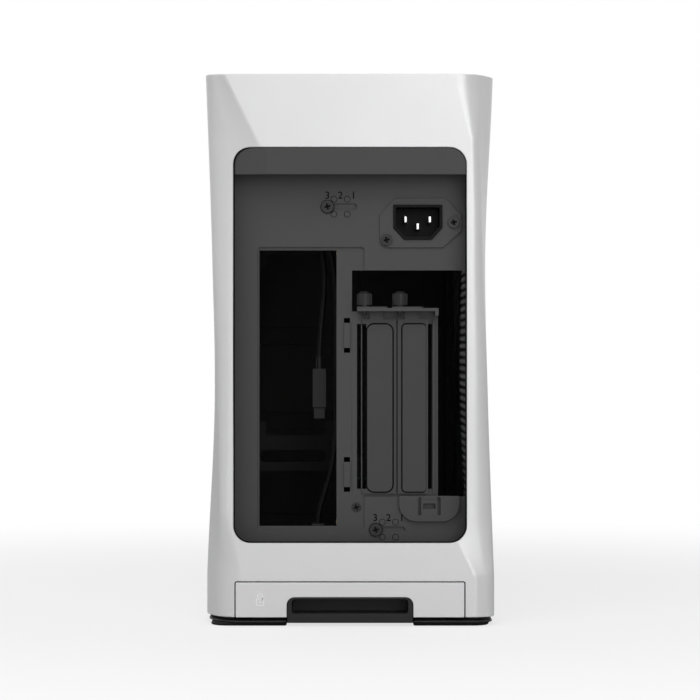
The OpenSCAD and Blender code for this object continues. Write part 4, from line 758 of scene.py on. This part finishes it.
# A band of even width along a path on a flat face at depth y: the path's points moved out and in by half the
# width, standing proud of the face and as deep in it.
def makeBand(name, path, width, face, proud, body, finish="mark_dark", closed=True):
    along = np.roll(path, -1, 0) - np.roll(path, 1, 0)
    if not closed:
        along[0], along[-1] = path[1] - path[0], path[-1] - path[-2]
    side = np.column_stack([along[:, 1], -along[:, 0]])
    side = side / np.linalg.norm(side, axis=1)[:, None] * width / 2
    n, left, right = len(path), path + side, path - side
    rows = [(left, face + proud), (left, face - proud), (right, face - proud), (right, face + proud)]
    points = np.concatenate([np.column_stack([p[:, 0], np.full(n, y), p[:, 1]]) for p, y in rows]) * mm
    faces = loopQuads(4, 4, n, closed).tolist()
    if not closed:
        faces += [[0, n, 2 * n, 3 * n], [n - 1, 4 * n - 1, 3 * n - 1, 2 * n - 1]]
    piece = meshPiece(name, points, faces, smooth=30)
    recalculate(piece)
    return placePiece(piece, body, finish)


# Points round a circle on a flat face.
def circlePath(x, z, radius, count=28):
    turn = np.arange(count) * 2 * np.pi / count
    return np.column_stack([x + radius * np.cos(turn), z + radius * np.sin(turn)])


# Lock sign on the drawer: a rounded body, an open shackle over it and a dot
lockSettings = {"x": -51.1, "z": 11.5, "width": 4.8, "height": 4.6, "line": 0.7, "bend": 0.5, "archShare": 0.58,
                "archRise": 5.5, "openEnd": 4.9, "dotRise": 2.3, "dotRadius": 0.3, "dotLine": 0.5,
                "perCorner": 5, "spacing": 9.0, "archSteps": 13, "dotSteps": 12, "face": -183.0, "proud": 0.1}


# Body outline, then a path up one side, round half a circle and down to the open end, then a small circle.
def makeLock(s=lockSettings):
    x, z, line, half = s["x"], s["z"], s["line"], s["width"] / 2
    body = roundedOutline(x - half + line / 2, x + half - line / 2, z + line / 2, z + s["height"] - line / 2,
                          s["bend"], s["perCorner"], s["spacing"])
    arch, reach = np.linspace(0, np.pi, s["archSteps"]), half * s["archShare"]
    bow = np.column_stack([x + reach * np.cos(arch), z + s["archRise"] + reach * np.sin(arch)])
    shackle = np.concatenate([[[x + reach, z + s["height"] - line]], bow, [[x - reach, z + s["openEnd"]]]])
    dot = circlePath(x, z + s["dotRise"], s["dotRadius"], s["dotSteps"])
    for name, path, width, closed in (("lock_body", body, line, True), ("lock_shackle", shackle, line, False),
                                      ("lock_dot", dot, s["dotLine"], True)):
        makeBand(name, path, width, s["face"], s["proud"], "drawer", "mark_pale", closed)


makeLock()

# Painted shadow lines: thin dark bands round the small dimples beside each position slot, two above and two
# below
dimpleSettings = {"firsts": ((-9.2, 239.5), (18.6, 53.6)), "apart": 7.6, "offSlot": 4.31, "radius": 1.6,
                  "line": 0.55, "face": -163.0, "proud": 0.12}


# Circles in pairs under and over each slot's line, one pair at its first place and one further along.
def makeDimples(s=dimpleSettings):
    places = [(x, z + way * s["offSlot"]) for first, z in s["firsts"] for x in (first, first + s["apart"])
              for way in (-1, 1)]
    for k, (x, z) in enumerate(places):
        makeBand("dimple_seam_%d" % (k + 1), circlePath(x, z, s["radius"]), s["line"], s["face"], s["proud"],
                 "chassis")


makeDimples()

# Cross drives of the screws: two crossed dark bars on each head, turned a little, as painted shade of the cross
# recess, and a dark ring of painted shadow round the head, which lies behind the head's face by "behind" but no
# further back than "least"
driveSettings = {"arm": 1.75, "half": 0.42, "turn": 20, "proud": 0.04, "deep": 0.3, "near": 3.8,
                 "line": 0.35, "seamProud": 0.05, "seamCount": 36}
spineScrew = {"holder": "position_screws", "body": "spine", "behind": 0.5, "least": -163.1}
inletScrew = {"holder": "inlet_screws", "body": "chassis", "behind": 0.5, "least": -163.1}
crossDrives = {
    "upper_screw": {**spineScrew, "place": (-13.0, 239.5), "seam": 3.8},
    "lower_screw": {**spineScrew, "place": (14.8, 53.6), "seam": 3.8},
    "edge_screw": {**spineScrew, "place": (3.7, 66.3), "seam": 3.1, "behind": 0.1, "least": -183.0},
    "inlet_screw_a": {**inletScrew, "place": (21.0, 220.3), "seam": 3.4},
    "inlet_screw_b": {**inletScrew, "place": (59.6, 230.4), "seam": 3.4}}


# The rearmost place of a node near (x, z): the outer face of the screw head there.
def headFace(x, z, node, near=driveSettings["near"]):
    points = np.empty(len(frame["nodes"][node].data.vertices) * 3)
    frame["nodes"][node].data.vertices.foreach_get("co", points)
    points = points.reshape(-1, 3) / mm
    return points[np.hypot(points[:, 0] - x, points[:, 2] - z) < near, 1].min()


# One bar's end turned to four sides is the cross's outline, carried from just proud of the head into it: a dark
# solid that paints the shade in the recess, with a ring of painted shadow round the head.
def makeDrive(name, screw, s=driveSettings):
    (x, z), arm, half = screw["place"], s["arm"], s["half"]
    face = headFace(x, z, screw["holder"])
    end = np.array([(half, -half), (arm, -half), (arm, half)])
    turns = np.arange(4) * np.pi / 2 + np.radians(s["turn"])
    outline = np.concatenate([end @ np.array([[np.cos(t), np.sin(t)], [-np.sin(t), np.cos(t)]]) for t in turns])
    outline, n = outline + (x, z), len(outline)
    points = np.concatenate([np.column_stack([outline[:, 0], np.full(n, y), outline[:, 1]])
                             for y in (face - s["proud"], face + s["deep"])]) * mm
    k = np.arange(n)
    ends = [k[::-1].tolist(), (k + n).tolist()]
    cross = meshPiece(name + "_drive_shade", points, ends + loopQuads(1, 2, n).tolist())
    recalculate(cross)
    placePiece(cross, screw["body"], "mark_dark")
    makeBand(name + "_seam", circlePath(x, z, screw["seam"], s["seamCount"]), s["line"],
             max(face + screw["behind"], screw["least"]), s["seamProud"], screw["body"])


for name, screw in crossDrives.items():
    makeDrive(name, screw)

# Dark bands of painted shadow in the grooves round the pads of the slot covers, and in the gap between the
# covers
padSettings = {"low": 75.2, "high": 172.1, "line": 0.62, "face": -163.9, "proud": 0.06,
               "pads": {"cover_1": (9.5, 24.8, 4.4), "cover_2": (29.8, 43.55, 2.4)}}
seamSettings = {"path": [(27.06, 75.5), (27.06, 173.5)], "line": 0.5, "face": -163.5, "proud": 0.3}
for name, (left, right, bend) in padSettings["pads"].items():
    path = roundedOutline(left, right, padSettings["low"], padSettings["high"], bend)
    makeBand(name + "_groove_shadow", path, padSettings["line"], padSettings["face"], padSettings["proud"], "spine")
makeBand("cover_seam", np.array(seamSettings["path"]), seamSettings["line"], seamSettings["face"],
         seamSettings["proud"], "spine", closed=False)

# A dark band of painted shadow in the gap round the rear opening
openingGapShadowSettings = {"outline": (-65.95, 65.95, 47.65, 271.95, 9.35), "line": 0.8, "face": -181.4, "proud": 0.3}
makeBand("opening_gap_shadow", roundedOutline(*openingGapShadowSettings["outline"]), openingGapShadowSettings["line"],
         openingGapShadowSettings["face"], openingGapShadowSettings["proud"], "shell")
print("marks made")

# Floor, background and light
studioSettings = {"floorColour": 0.85, "floorSecond": 0.99, "floorHalf": 30.0, "floorRoughness": 0.8,
                  "fadeFrom": 0.2, "fadeTo": 0.8, "nearGlow": 0.7, "world": 0.26}
lamps = {
    "softFront": {"place": (-0.5, -1.3, 1.5), "target": (0, -0.18, 0.2), "size": (1.2, 0.9), "power": 11},
    "softTop": {"place": (0.0, 0.2, 2.2), "target": (0, 0, 0.2), "size": (1.6, 1.6), "power": 8},
    "softMirror": {"place": (0.8, -2.9, 1.15), "target": (0.8, 0, 1.15), "size": (1.7, 2.2), "power": 24}}


# A pale floor that fades to plain white away from the case. Only the camera sees the white.
def makeFloor(s=studioSettings):
    half = s["floorHalf"]
    corners = np.array([(-half, -half, 0), (half, -half, 0), (half, half, 0), (-half, half, 0)], float)
    floor = meshPiece("studioFloor", corners, [[0, 1, 2, 3]])
    material = bpy.data.materials.new("studioFloor")
    material.use_nodes = True
    tree = material.node_tree
    join, shader, out = tree.links.new, tree.nodes["Principled BSDF"], tree.nodes["Material Output"]
    shader.inputs["Roughness"].default_value = s["floorRoughness"]
    place = addNode(tree, "ShaderNodeTexCoord")
    noise = addNode(tree, "ShaderNodeTexNoise", Scale=40.0, Detail=3.0)
    join(place.outputs["Object"], noise.inputs["Vector"])
    tones = grey(s["floorColour"]), grey(s["floorColour"] * s["floorSecond"])
    join(mixColour(tree, noise.outputs["Fac"], *tones), shader.inputs["Base Color"])
    far = addNode(tree, "ShaderNodeVectorMath", operation="LENGTH")
    join(place.outputs["Object"], far.inputs[0])
    fade = addNode(tree, "ShaderNodeMapRange", interpolation_type="SMOOTHSTEP", From_Min=s["fadeFrom"],
                   From_Max=s["fadeTo"], To_Min=s["nearGlow"])
    join(far.outputs["Value"], fade.inputs["Value"])
    rays = addNode(tree, "ShaderNodeLightPath")
    seen = mathNode(tree, "MULTIPLY", fade.outputs["Result"], rays.outputs["Is Camera Ray"])
    glow = addNode(tree, "ShaderNodeEmission", Strength=1.0)
    mix = addNode(tree, "ShaderNodeMixShader")
    for socket, source in zip(mix.inputs, (seen, shader.outputs[0], glow.outputs[0])):
        join(source, socket)
    join(mix.outputs[0], out.inputs["Surface"])
    floor.data.materials.append(material)


# A white surround that camera, glossy and see-through rays meet at full strength, and other rays more weakly.
def makeWorld(s=studioSettings):
    world = bpy.data.worlds.new("studio")
    world.use_nodes = True
    bpy.context.scene.world = world
    tree = world.node_tree
    tree.nodes.clear()
    rays = addNode(tree, "ShaderNodeLightPath")
    through = mathNode(tree, "MAXIMUM", rays.outputs["Is Glossy Ray"], rays.outputs["Is Transmission Ray"])
    seen = mathNode(tree, "MAXIMUM", rays.outputs["Is Camera Ray"], through)
    level = addNode(tree, "ShaderNodeMapRange", To_Min=s["world"], To_Max=1.0)
    tree.links.new(seen, level.inputs["Value"])
    light = addNode(tree, "ShaderNodeBackground", Color=(1, 1, 1, 1))
    out = addNode(tree, "ShaderNodeOutputWorld")
    tree.links.new(level.outputs["Result"], light.inputs["Strength"])
    tree.links.new(light.outputs[0], out.inputs["Surface"])


# A soft rectangular lamp that looks at its target and that the camera doesn't see.
def makeLamp(name, s):
    data = bpy.data.lights.new(name, "AREA")
    data.shape, data.size, data.size_y, data.energy = "RECTANGLE", *s["size"], s["power"]
    lamp = bpy.data.objects.new(name, data)
    lamp.location = s["place"]
    lamp.rotation_euler = (Vector(s["target"]) - Vector(s["place"])).to_track_quat("-Z", "Y").to_euler()
    lamp.visible_camera = False
    linkPiece(lamp)


makeFloor()
makeWorld()
for name, settings in lamps.items():
    makeLamp(name, settings)
print("stage made")
